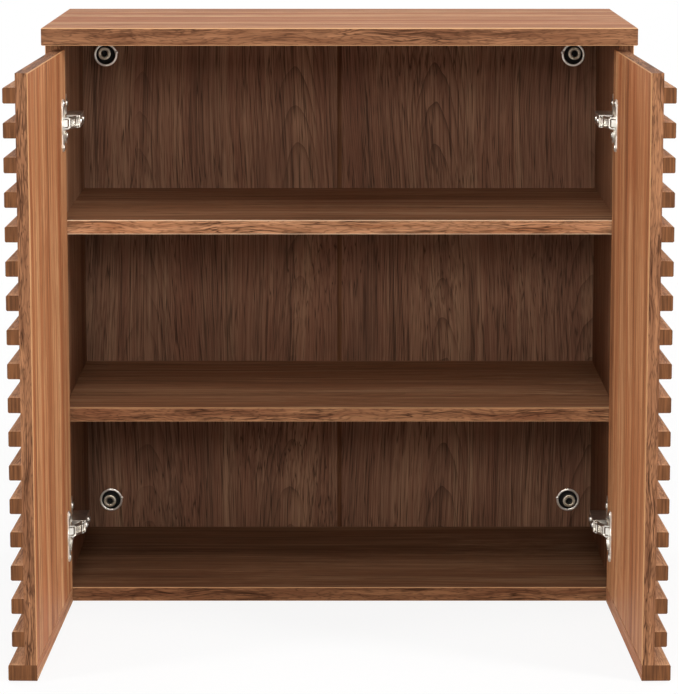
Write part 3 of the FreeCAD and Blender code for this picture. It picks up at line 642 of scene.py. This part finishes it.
walnut = {
    name: walnut_foil(name, way, shift, tones, **look)
    for name, (way, shift, tones, look) in FOILS.items()
}
print("foils:", ", ".join(material.name for material in walnut.values()))

# %% [markdown]
# ## Nickel, chrome and zinc
# The hinges are stamped from steel sheet and plated, their pins are ground, and
# their screws are pressed from wire; the wall rings and bushes are turned. None
# of them is a mirror: rolling, tumbling and turning leave marks that smear each
# lamp into a soft streak. A metal has no colour of its own under its gloss, so
# Metallic is 1, the base colour is the colour of its reflection, and roughness
# says how far that smears. Polished nickel has about 0.1, satin plate 0.3 to
# 0.45. The marks are hundredths of a millimetre wide; they are drawn about half
# a millimetre apart so that they show, as a bump, because as faces they would
# be millions.

# %% Make the metals
MARK_STRETCH, CLOUD_WIDTH = 14, 7.14
BRIGHTER, DULLER = 0.05, 0.08


def plated_steel(name, tints, dull, mark_width, mark_depth):
    """A metal with faint marks, and clouds in its plating; widths and depths in millimetres."""
    material, tree, shader = new_finish(name)
    point = add(tree, "TexCoord").outputs["Object"]
    marks = add(tree, "TexNoise", {
        "Vector": stretched(tree, point, "z", (mark_width * MARK_STRETCH, mark_width)),
        "Scale": 1.0, "Detail": 3.0,
    }).outputs["Fac"]
    clouds = add(tree, "TexNoise", {
        "Vector": point, "Scale": 1000 / CLOUD_WIDTH, "Detail": 2.0,
    }).outputs["Fac"]
    cloudy = add(tree, "MapRange", {"Value": clouds, "From Min": 0.35, "From Max": 0.65})
    bright, dark = (linear(tint) for tint in tints)
    shade = printed(tree, bright, dark, cloudy.outputs["Result"])
    tree.links.new(shade, shader.inputs["Base Color"])
    rough = add(tree, "MapRange", {
        "Value": marks, "To Min": dull - BRIGHTER, "To Max": dull + DULLER,
    })
    tree.links.new(rough.outputs["Result"], shader.inputs["Roughness"])
    relief = add(tree, "Bump", {"Height": marks, "Strength": 0.25, "Distance": mark_depth * MM})
    tree.links.new(relief.outputs["Normal"], shader.inputs["Normal"])
    shader.inputs["Metallic"].default_value = 1.0
    return material


# nickel plate on stamped and tumbled steel arms and links: warm and nearly white
nickel = plated_steel("nickel_plated_steel", ("#e9e4da", "#d6d0c5"), 0.3, 0.5, 0.04)
# satin nickel plate on pressed cups and mounting plates: the same with a broad sheen
satin_nickel = plated_steel("satin_nickel_plate", ("#ece7dd", "#dbd5ca"), 0.44, 0.5, 0.04)
# ground steel hinge pins: greyer and darker than the plate round them
pin_steel = plated_steel("hinge_pin_steel", ("#bdb9b2", "#a8a39b"), 0.3, 0.4, 0.03)
# zinc plate on pressed steel screws: a plain grey, bright on the rims
screw_steel = plated_steel("screw_steel", ("#d8d5cf", "#bfbab2"), 0.27, 0.4, 0.03)
# satin chrome plate on turned steel rings: pale and warm, with no sharp spot of a lamp
chrome = plated_steel("satin_chrome", ("#fbf4ea", "#efe7da"), 0.31, 0.6, 0.01)
# turned zinc bushes: a yellowish grey, duller, with the marks of the tool
zinc = plated_steel("turned_zinc", ("#d6cab6", "#b9aa92"), 0.4, 0.35, 0.06)

METALS = (nickel, satin_nickel, pin_steel, screw_steel, chrome, zinc)
print("metals:", ", ".join(metal.name for metal in METALS))

# %% [markdown]
# ## Black ABS
# The liners in the wall rings are moulded ABS: nearly black, with the fine sparked texture of the
# mould, so they swallow most light, and their black also paints the shade in the rings' recesses.
# The webs in the bushes are the same black and are painted shade: they stand in for the dark depth
# of the bushes' holes.
# ABS has an IOR of about 1.5 and a roughness near 0.5. The texture is a bump; real
# grains are about 0.1 mm wide and are drawn 0.7 mm wide so that they show. A much
# wider noise clouds the black a little, as the flow of the plastic does.

# %% Make the black plastic
def moulded_plastic(name, tints, dull, grain_width, flow_width):
    """Moulded plastic with a fine sparked texture; both widths are in millimetres."""
    material, tree, shader = new_finish(name)
    point = add(tree, "TexCoord").outputs["Object"]
    grains, flow = [
        add(tree, "TexNoise", {"Vector": point, "Scale": 1000 / width, "Detail": 2.0}).outputs["Fac"]
        for width in (grain_width, flow_width)
    ]
    shade = printed(tree, linear(tints[0]), linear(tints[1]), flow)
    tree.links.new(shade, shader.inputs["Base Color"])
    rough = add(tree, "MapRange", {"Value": grains, "To Min": dull - 0.06, "To Max": dull + 0.08})
    tree.links.new(rough.outputs["Result"], shader.inputs["Roughness"])
    relief = add(tree, "Bump", {"Height": grains, "Strength": 0.3, "Distance": 0.05 * MM})
    tree.links.new(relief.outputs["Normal"], shader.inputs["Normal"])
    shader.inputs["IOR"].default_value = 1.5
    shader.inputs["Specular IOR Level"].default_value = 0.2
    return material


# painted shade in part: this black also stands for the shade in the rings' recesses and, as the
# webs, for the dark depth of the bushes' holes
black_abs_and_shade = moulded_plastic("black_abs_and_painted_shade", ("#14100d", "#0c0a08"), 0.5, 0.7, 55.6)
print("plastic:", black_abs_and_shade.name)

# %% [markdown]
# ## Dress the solids
# Each solid keeps its exact mesh and only gets its finish. Boards take the foil
# of their grain, and every hinge part its own metal. A table says which, so a
# solid without a finish would stop the script here.

# %% Assign the finishes
FINISH_OF = {
    "top_board": walnut["top"],
    "bottom_board": walnut["bottom"],
    "shelf_lower": walnut["lower_shelf"],
    "shelf_upper": walnut["upper_shelf"],
    "side_panel_left": walnut["upright"],
    "side_panel_right": walnut["upright"],
    "back_panel_left": walnut["back"],
    "back_panel_right": walnut["back"],
    "back_joint_strip": walnut["joint_strip"],
    "wall_rings": chrome,
    "wall_bushes": zinc,
}
HINGE_METALS = {
    satin_nickel: ("hinge_cups", "hinge_plates"),
    nickel: ("outer_links", "inner_links", "hinge_arms"),
    pin_steel: ("cup_pins", "arm_pins"),
    screw_steel: ("cup_screws", "arm_screws", "plate_screws"),
}
for hand in ("left", "right"):
    FINISH_OF[f"door_panel_{hand}"] = walnut["door"]
    FINISH_OF[f"door_slats_{hand}"] = walnut[f"slat_{hand}"]
    FINISH_OF[f"door_rail_{hand}"] = walnut[f"slat_{hand}"]
    for metal, parts in HINGE_METALS.items():
        for part in parts:
            FINISH_OF[f"{part}_{hand}"] = metal

for name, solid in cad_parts.items():
    solid.data.materials.clear()
    solid.data.materials.append(FINISH_OF[name])
print("dressed", len(FINISH_OF), "solids")

# %% [markdown]
# ## Rounded metal edges
# A stamped or turned part never has a razor edge, and a rounded one catches light
# as a thin bright line. Cutting the rounding into the mesh would change the exact
# solid, so modifiers do it: they first join the corner points and the small
# triangles of each flat side, and then round what is left.

# %% Round the edges of the metals
EDGE_ROUNDING, JOIN_WITHIN = 0.2, 0.01
FLAT_WITHIN, SHARP_OVER = math.radians(1), math.radians(40)


def round_edges(solid):
    """Round a solid's sharp edges with modifiers, which leave its own mesh as it is."""
    weld = solid.modifiers.new("join", "WELD")
    weld.merge_threshold = JOIN_WITHIN * MM
    flat = solid.modifiers.new("flat_faces", "DECIMATE")
    flat.decimate_type = "DISSOLVE"
    flat.angle_limit = FLAT_WITHIN
    rounding = solid.modifiers.new("rounding", "BEVEL")
    rounding.width = EDGE_ROUNDING * MM
    rounding.segments = 2
    rounding.limit_method = "ANGLE"
    rounding.angle_limit = SHARP_OVER
    rounding.harden_normals = True


metal_solids = [solid for name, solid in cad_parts.items() if FINISH_OF[name] in METALS]
for solid in metal_solids:
    round_edges(solid)
print("rounded the edges of", len(metal_solids), "solids by", EDGE_ROUNDING, "mm")

# %% [markdown]
# ## Turned fittings
# Wall rings and bushes are turned on a lathe, and screws are pressed just as round,
# so their surfaces are circles round one axis. Each is a stack of hoops joined by
# a skin of four-sided faces. That takes few lines and keeps every rim round, where
# a cut-out cylinder would leave long thin triangles. A hoop may also stand aside
# of the axis, which the wall rings need, because their bushes sit off centre.

# %% Hoops and skins
TURNED_STEPS = 32


def hoop(mesh, seat, radius, height, aside=(0, 0), steps=TURNED_STEPS):
    """A hoop of vertices; radius, height and aside are in millimetres from the seat."""
    origin, across, up, out = seat
    middle_point = origin + (across * aside[0] + up * aside[1] + out * height) * MM
    vertices = []
    for step in range(steps):
        angle = 2 * math.pi * step / steps
        spoke = across * math.cos(angle) + up * math.sin(angle)
        vertices.append(mesh.verts.new(middle_point + spoke * radius * MM))
    return vertices


def skin(mesh, hoops, closed=False, capped=False):
    """Join neighbouring hoops with faces; closed joins the ends, and capped covers them."""
    pairs = list(zip(hoops, hoops[1:]))
    if closed:
        pairs.append((hoops[-1], hoops[0]))
    for low_hoop, high_hoop in pairs:
        for step, vertex in enumerate(low_hoop):
            after = (step + 1) % len(low_hoop)
            mesh.faces.new((vertex, low_hoop[after], high_hoop[after], high_hoop[step]))
    if capped:
        mesh.faces.new(hoops[0])
        mesh.faces.new(hoops[-1])


print("a turned part has", TURNED_STEPS, "steps round its axis")

# %% [markdown]
# ## From a mesh to a piece
# A mesh that was built in this script becomes a piece in the same few steps each time: its faces are
# turned outwards, its soft edges are shaded smooth and its sharp ones kept, it gets its finish, it
# is told which body carries it, and the solids it stands for are hidden.

# %% Turn a mesh into a piece
SHARP_EDGE = math.radians(38)


def add_piece(name, mesh, material, body, replaced=()):
    """Turn a mesh into a piece that rides on a body, and hide the solids it stands for."""
    bmesh.ops.recalc_face_normals(mesh, faces=mesh.faces)
    data = bpy.data.meshes.new(name)
    mesh.to_mesh(data)
    mesh.free()
    data.shade_smooth()
    data.set_sharp_from_angle(angle=SHARP_EDGE)
    data.materials.append(material)
    piece = bpy.data.objects.new(name, data)
    bpy.context.scene.collection.objects.link(piece)
    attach(piece, body)
    if replaced:
        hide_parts(*replaced)
    print(name, "has", len(data.polygons), "faces")


print("edges over", round(math.degrees(SHARP_EDGE)), "degrees stay sharp")

# %% [markdown]
# ## Where each fitting sits
# One solid can hold many equal fittings, such as all the screws of a pair of
# plates. Their places could be typed in, but the solid already knows them: its
# corner points fall into groups, one for each fitting, and a group's own extent
# gives the fitting's seat, its length and its radius.

# %% Find each fitting in its solid
SCREW_REACH, RING_REACH = 16, 40


def groups_in(solid, reach_mm):
    """The corner points of a solid, one list for each separate fitting in it."""
    groups = []
    for vertex in solid.data.vertices:
        for group in groups:
            if (vertex.co - group[0]).length < reach_mm * MM:
                group.append(vertex.co.copy())
                break
        else:
            groups.append([vertex.co.copy()])
    return groups


def seat_of(points, out):
    """Where a fitting sits: its seat's origin and directions, its length and its radius in mm."""
    up = Vector((0, 0, 1))
    across = up.cross(out).normalized()
    spans = []
    for direction in (across, up, out):
        along = [point.dot(direction) for point in points]
        spans.append((min(along), max(along)))
    origin = across * sum(spans[0]) / 2 + up * sum(spans[1]) / 2 + out * spans[2][0]
    length = (spans[2][1] - spans[2][0]) / MM
    radius = (spans[1][1] - spans[1][0]) / 2 / MM
    return (origin, across, up, out), length, radius


plate_screws = groups_in(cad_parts["plate_screws_left"], SCREW_REACH)
print("screws in the left mounting plates:", len(plate_screws))

# %% [markdown]
# ## Cross-recess screws
# Each hinge is held by small pan-head screws of zinc-plated steel. The head is
# pressed, so it is domed with a soft rim, and the driver fits a tapered cross in
# its top. The cross could be cut out with a boolean, which leaves slivers; here
# the round head is joined to the cross with a bridge of faces between the two
# outlines.

# %% Shape a screw
HEAD_STEPS = 24
SHANK_SHARE = 0.5
TIP_HEIGHT = 1.2
CROSS_MOUTH, CROSS_FLOOR = (0.54, 0.13), (0.3, 0.09)
CROSS_DEPTH = 0.7
HEAD_OUTLINE = ((0.96, 0.0), (1.0, 0.15), (1.0, 0.4), (0.93, 0.7), (0.8, 0.9), (0.64, 1.0))


def cross_outline(mesh, seat, radius, shares, height):
    """The twelve corners of a cross; shares give its arm and half its width, of the radius."""
    origin, across, up, out = seat
    arm, half = (radius * share for share in shares)
    quarter = [(half, arm), (half, half), (arm, half)]
    corners = []
    for turn in range(4):
        corners.extend(quarter)
        quarter = [(beside, -along) for along, beside in quarter]
    return [
        mesh.verts.new(origin + (across * along + up * beside + out * height) * MM)
        for along, beside in corners
    ]


def add_screw(mesh, seat, length, radius, head):
    """One pan-head screw: shank, domed head and a tapered cross recess."""
    neck = length - head
    shank = radius * SHANK_SHARE
    profile = [(shank * 0.3, 0.0), (shank, min(TIP_HEIGHT, neck / 2)), (shank, neck)]
    for reach, rise in HEAD_OUTLINE:
        profile.append((radius * reach, neck + head * rise))
    hoops = [hoop(mesh, seat, reach, height, steps=HEAD_STEPS) for reach, height in profile]
    skin(mesh, hoops)
    mesh.faces.new(hoops[0])
    mouth = cross_outline(mesh, seat, radius, CROSS_MOUTH, length)
    floor_of_cross = cross_outline(mesh, seat, radius, CROSS_FLOOR, length - head * CROSS_DEPTH)
    last = hoops[-1]
    rim = [mesh.edges.get(pair) for pair in zip(last, last[1:] + last[:1])]
    lip = [mesh.edges.new(pair) for pair in zip(mouth, mouth[1:] + mouth[:1])]
    bmesh.ops.bridge_loops(mesh, edges=rim + lip)
    skin(mesh, [mouth, floor_of_cross])
    mesh.faces.new(floor_of_cross)


print("a screw head has", HEAD_STEPS, "steps and a cross", CROSS_MOUTH[0], "of its radius long")

# %% [markdown]
# ## A screw in each hole
# The screws differ only in size and in how high their heads are: low in the cups,
# higher on the plates and arms. Those of the cups are in the open door, so they
# look out of it at its own angle.

# %% Make the screws
SCREW_HEADS = {"cup_screws": 1.2, "plate_screws": 2.2, "arm_screws": 2.0}

for hand, sign in (("left", 1), ("right", -1)):
    swing = math.radians(OPEN_TURN)
    inward = Vector((sign, 0, 0))
    off_the_door = Vector((sign * math.sin(swing), math.cos(swing), 0))
    for kind, head in SCREW_HEADS.items():
        node = f"{kind}_{hand}"
        on_door = kind == "cup_screws"
        screws = bmesh.new()
        for points in groups_in(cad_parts[node], SCREW_REACH):
            seat, length, radius = seat_of(points, off_the_door if on_door else inward)
            add_screw(screws, seat, length, radius, head)
        add_piece(f"recessed_{node}", screws, screw_steel, f"{hand}_door" if on_door else "carcass",
                  (node,))

# %% [markdown]
# ## Outlines of the wall rings and bushes
# The cabinet hangs on four fixing points. At each one a chromed ring is pressed into the back board:
# its broad rounded lip has a thin groove round it, and a small ear stands on it towards the middle
# of the cabinet. Inside lies a liner of black ABS, whose black also paints the shade of the recess,
# and off its centre sits a bush of turned zinc with a countersunk mouth. A thin black web deep in
# the bush is painted shade: it stands in for the dark depth of the hole.
# A flat lip would show as a plain white disc. The rounding and the groove give
# it bright and dark lines instead. Each outline is a row of radii and heights in
# millimetres, as a turner would read them from a drawing.

# %% Outlines of the turned parts
BUSH_RADIUS, LINER_GAP = 7.2, 0.05
EAR_REACH, EAR_RISE = 12.4, math.radians(12)

RING_PROFILE = [
    (11.6, 0.0), (11.6, 5.0), (13.2, 5.0), (13.2, 5.3), (13.08, 5.55), (12.8, 5.72),
    (12.4, 5.8), (12.1, 5.78), (11.96, 5.62), (11.8, 5.62), (11.66, 5.76), (11.3, 5.8),
    (10.95, 5.72), (10.7, 5.5), (10.6, 5.2), (10.6, 1.0),
]
RING_BORE = [(BUSH_RADIUS, 1.0), (BUSH_RADIUS, 0.0)]
EAR_PROFILE = [(1.9, 5.0), (1.9, 5.9), (1.78, 6.25), (1.45, 6.5), (1.0, 6.62), (0.5, 6.66)]
LINER_PROFILE = [
    (10.55, 1.05), (10.55, 5.0), (10.35, 5.18), (10.0, 5.15), (9.8, 4.9), (9.62, 1.7),
]
LINER_BORE = [(BUSH_RADIUS + LINER_GAP, 1.7), (BUSH_RADIUS + LINER_GAP, 1.05)]
BUSH_PROFILE = [
    (3.5, 0.0), (BUSH_RADIUS, 0.0), (BUSH_RADIUS, 6.05), (7.08, 6.36), (6.8, 6.5),
    (5.75, 6.46), (5.62, 6.3), (5.42, 6.3), (5.3, 6.46), (4.4, 6.5), (4.0, 6.34), (3.65, 5.9),
    (3.5, 5.3),
]
# painted shade: a black disc deep in each bush darkens its hole
SHADE_WEB_PROFILE = [
    (0.2, 2.3), (1.1, 2.3), (1.35, 2.0), (2.7, 2.0), (2.95, 2.4), (3.4, 2.4), (3.45, 2.2),
    (3.45, 0.6), (0.2, 0.6),
]
print("ring lip", RING_PROFILE[2][0] * 2, "mm across, bush", BUSH_RADIUS * 2, "mm across")

# %% [markdown]
# ## Wall rings and bushes
# The ring and its liner are closed tubes whose bore stands aside, where the bush
# is. Their hoops change from the middle of the ring to the middle of the bush, so
# the skin between the two makes the flat floor that fills the ring round the bush.

# %% Make the rings, liners, bushes and webs
def profile_hoops(mesh, seat, profile, aside=(0, 0)):
    """One hoop for each pair of radius and height in an outline."""
    return [hoop(mesh, seat, radius, height, aside) for radius, height in profile]


forward = Vector((0, -1, 0))
rings, liners, bushes, webs = bmesh.new(), bmesh.new(), bmesh.new(), bmesh.new()
bush_groups = groups_in(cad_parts["wall_bushes"], RING_REACH)
for ring_points in groups_in(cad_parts["wall_rings"], RING_REACH):
    seat = seat_of(ring_points, forward)[0]
    origin, across, up = seat[:3]
    nearest = min(bush_groups, key=lambda points: (points[0] - ring_points[0]).length)
    bush_seat = seat_of(nearest, forward)[0]
    offset = (bush_seat[0] - origin) / MM
    aside = (offset.dot(across), offset.dot(up))
    ring_hoops = profile_hoops(rings, seat, RING_PROFILE)
    ring_hoops += profile_hoops(rings, seat, RING_BORE, aside)
    skin(rings, ring_hoops, closed=True)
    to_middle = -1 if origin.x > 0 else 1
    ear_place = (to_middle * EAR_REACH * math.cos(EAR_RISE), EAR_REACH * math.sin(EAR_RISE))
    skin(rings, profile_hoops(rings, seat, EAR_PROFILE, ear_place), capped=True)
    liner_hoops = profile_hoops(liners, seat, LINER_PROFILE)
    liner_hoops += profile_hoops(liners, seat, LINER_BORE, aside)
    skin(liners, liner_hoops, closed=True)
    skin(bushes, profile_hoops(bushes, bush_seat, BUSH_PROFILE), closed=True)
    skin(webs, profile_hoops(webs, bush_seat, SHADE_WEB_PROFILE), capped=True)
print("bushes stand", [round(value, 2) for value in aside], "mm aside of their rings")

add_piece("wall_rings_lipped", rings, chrome, "carcass", ("wall_rings",))
add_piece("wall_ring_liners", liners, black_abs_and_shade, "carcass")
add_piece("wall_bushes_turned", bushes, zinc, "carcass", ("wall_bushes",))
# painted shade: black webs darken the bushes' holes
add_piece("wall_bush_shade_webs", webs, black_abs_and_shade, "carcass")

# %% [markdown]
# ## White to the eye
# A catalogue background is pure white, but a floor and walls that shone so
# brightly would flood the cabinet with light. A Light Path node tells the two
# uses apart: rays that come straight from the camera, or off metal, satin foil or
# glass, get pure white, and rays that gather light for matt surfaces don't.

# %% Tell the seen rays apart
WHITE = (1, 1, 1, 1)


def in_sight(tree):
    """1 for a ray from the camera, a glossy surface or glass, and 0 for the rest."""
    paths = add(tree, "LightPath")
    seen = paths.outputs["Is Camera Ray"]
    for kind in ("Is Glossy Ray", "Is Transmission Ray"):
        seen = add(tree, "Math", {0: seen, 1: paths.outputs[kind]},
                   operation="MAXIMUM").outputs["Value"]
    return seen


print("background as the camera sees it:", WHITE[:3])

# %% [markdown]
# ## The floor
# Common name: matt background paper, rolled from bleached pulp. It gives the eye
# an even, nearly white ground with a hardly visible mottle and no gloss. The
# cabinet stands on it, so a share of the paper's own shaded surface is kept near
# the cabinet, where the shadow falls, and it fades to the white of the background
# further out. A plain plane under the cabinet is enough.

# %% Lay the floor
FLOOR_REACH, FLOOR_DROP = 6.0, 0.5
SHADOW_WITHIN, WHITE_BEYOND = 0.7, 2.2
WHITE_SHARE = 0.87
PAPER_TONES, PAPER_MOTTLE = ("#f0f0ef", "#ebebea"), 333.3

corners = [(-1, -1), (1, -1), (1, 1), (-1, 1)]
floor_mesh = bpy.data.meshes.new("floor")
floor_mesh.from_pydata([(x * FLOOR_REACH, y * FLOOR_REACH, 0) for x, y in corners], [],
                       [(0, 1, 2, 3)])
floor = bpy.data.objects.new("floor", floor_mesh)
floor.location.z = -FLOOR_DROP * MM
bpy.context.scene.collection.objects.link(floor)

paper, tree, shader = new_finish("floor_paper")
point = add(tree, "TexCoord").outputs["Object"]
mottle = add(tree, "TexNoise", {"Vector": point, "Scale": 1000 / PAPER_MOTTLE, "Detail": 2.0})
shade = printed(tree, *[linear(tone) for tone in PAPER_TONES], mottle.outputs["Fac"])
tree.links.new(shade, shader.inputs["Base Color"])
shader.inputs["Roughness"].default_value = 0.9
floor_mesh.materials.append(paper)
print("floor", FLOOR_REACH * 2, "m square,", FLOOR_DROP, "mm under the cabinet")

# %% [markdown]
# ## The floor's white
# Pure white is mixed over the paper for the seen rays only. The share is a little
# lower round the cabinet, by the distance from the middle of the floor.

# %% Mix the white over the paper
away = add(tree, "VectorMath", {0: point}, operation="LENGTH").outputs["Value"]
whiter = add(tree, "MapRange", {
    "Value": away, "From Min": SHADOW_WITHIN, "From Max": WHITE_BEYOND,
    "To Min": WHITE_SHARE, "To Max": 1.0,
})
glow_share = add(tree, "Math", {0: in_sight(tree), 1: whiter.outputs["Result"]},
                 operation="MULTIPLY").outputs["Value"]
glow = add(tree, "Emission", {"Color": WHITE, "Strength": 1.0})
lit_paper = add(tree, "MixShader", {
    0: glow_share, 1: shader.outputs["BSDF"], 2: glow.outputs["Emission"],
})
output = next(node for node in tree.nodes if node.type == "OUTPUT_MATERIAL")
tree.links.new(lit_paper.outputs["Shader"], output.inputs["Surface"])
print("white share round the cabinet:", WHITE_SHARE)

# %% [markdown]
# ## The room
# The room is a world with two levels: white for the seen rays, and almost dark
# for the light on matt surfaces, so the lamps alone shape the cabinet.

# %% Make the room
ROOM_LEVEL = 0.02

world = bpy.data.worlds.new("studio")
world.use_nodes = True
sky = world.node_tree
sky.nodes.clear()
room = add(sky, "Background", {"Color": WHITE, "Strength": ROOM_LEVEL})
backdrop = add(sky, "Background", {"Color": WHITE, "Strength": 1.0})
sky_mix = add(sky, "MixShader", {
    0: in_sight(sky), 1: room.outputs["Background"], 2: backdrop.outputs["Background"],
})
add(sky, "OutputWorld", {"Surface": sky_mix.outputs["Shader"]})
bpy.context.scene.world = world
print("room level for matt surfaces:", ROOM_LEVEL)

# %% [markdown]
# ## Soft studio light
# A wide box hangs overhead and makes the top the brightest face. A second one in
# front of it is aimed steeply down, so it lights only the front of each shelf. A
# fill from further off reaches the back and leaves a dark zone under each board.
# Two tall boxes at the sides light the inner faces of the doors, the right one
# more, and two behind light the rear for whoever walks round it. One sun would be
# simpler, but its shadows are hard, and an even room has none at all.

# %% Lamps
def softbox(name, place, aim, width, height, power):
    """A rectangular area lamp at a place in metres, turned towards an aim; power in watts."""
    lamp = bpy.data.lights.new(name, "AREA")
    lamp.shape = "RECTANGLE"
    lamp.size = width
    lamp.size_y = height
    lamp.energy = power
    holder = bpy.data.objects.new(name, lamp)
    holder.location = place
    holder.rotation_euler = (Vector(aim) - Vector(place)).to_track_quat("-Z", "Y").to_euler()
    holder.visible_camera = False
    bpy.context.scene.collection.objects.link(holder)


low, high = (Vector(corner) for corner in solid_box)
middle = (low + high) / 2
LAMPS = {
    # place, aim, width and height in metres, and power in watts
    "overhead_box": ((0, 0.1, 2.3), (0, 0, high.z), 1.8, 1.0, 13.5),
    "front_key_box": ((0, -1.4, 2.0), (0, -0.15, 0.35), 1.4, 0.6, 12.5),
    "front_fill_box": ((0, -3.3, 1.3), middle, 0.9, 0.6, 32),
    "side_box_right": ((2.7, -1.72, 1.3), (-0.25, -0.3, 0.3), 0.65, 1.4, 85),
    "side_box_left": ((-2.7, -1.72, 1.3), (0.25, -0.3, 0.3), 0.65, 1.4, 55),
    "rear_box_right": ((2.2, 2.6, 1.4), middle, 1.2, 1.4, 45),
    "rear_box_left": ((-2.2, 2.6, 1.4), middle, 1.2, 1.4, 45),
}
for name, lamp_values in LAMPS.items():
    softbox(name, *lamp_values)
print("lamps:", ", ".join(LAMPS))

# %% [markdown]
# ## The camera
# A long lens from three metres away keeps the shelves nearly parallel; a short
# one close by would make the doors loom. The camera looks slightly down on the
# top, and a small shift of the frame keeps the whole cabinet inside it.

# %% Camera
CAMERA_BACK, CAMERA_HEIGHT = 3.085, 0.8178
PITCH = 9.205
FRAME_SHIFT = -0.049
LENS = 156.4

top_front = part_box("top_board")[0][1]
camera_data = bpy.data.cameras.new("camera")
camera_data.sensor_width = 36.0
camera_data.lens = LENS
camera_data.shift_y = FRAME_SHIFT
camera_data.clip_end = 50.0
camera = bpy.data.objects.new("camera", camera_data)
camera.location = (0, top_front - CAMERA_BACK, CAMERA_HEIGHT)
camera.rotation_euler = (math.radians(90 - PITCH), 0, 0)
bpy.context.scene.collection.objects.link(camera)
bpy.context.scene.camera = camera
bpy.context.scene.view_settings.view_transform = "Standard"
print("lens", LENS, "mm, shift", FRAME_SHIFT, "from", [round(v, 3) for v in camera.location])
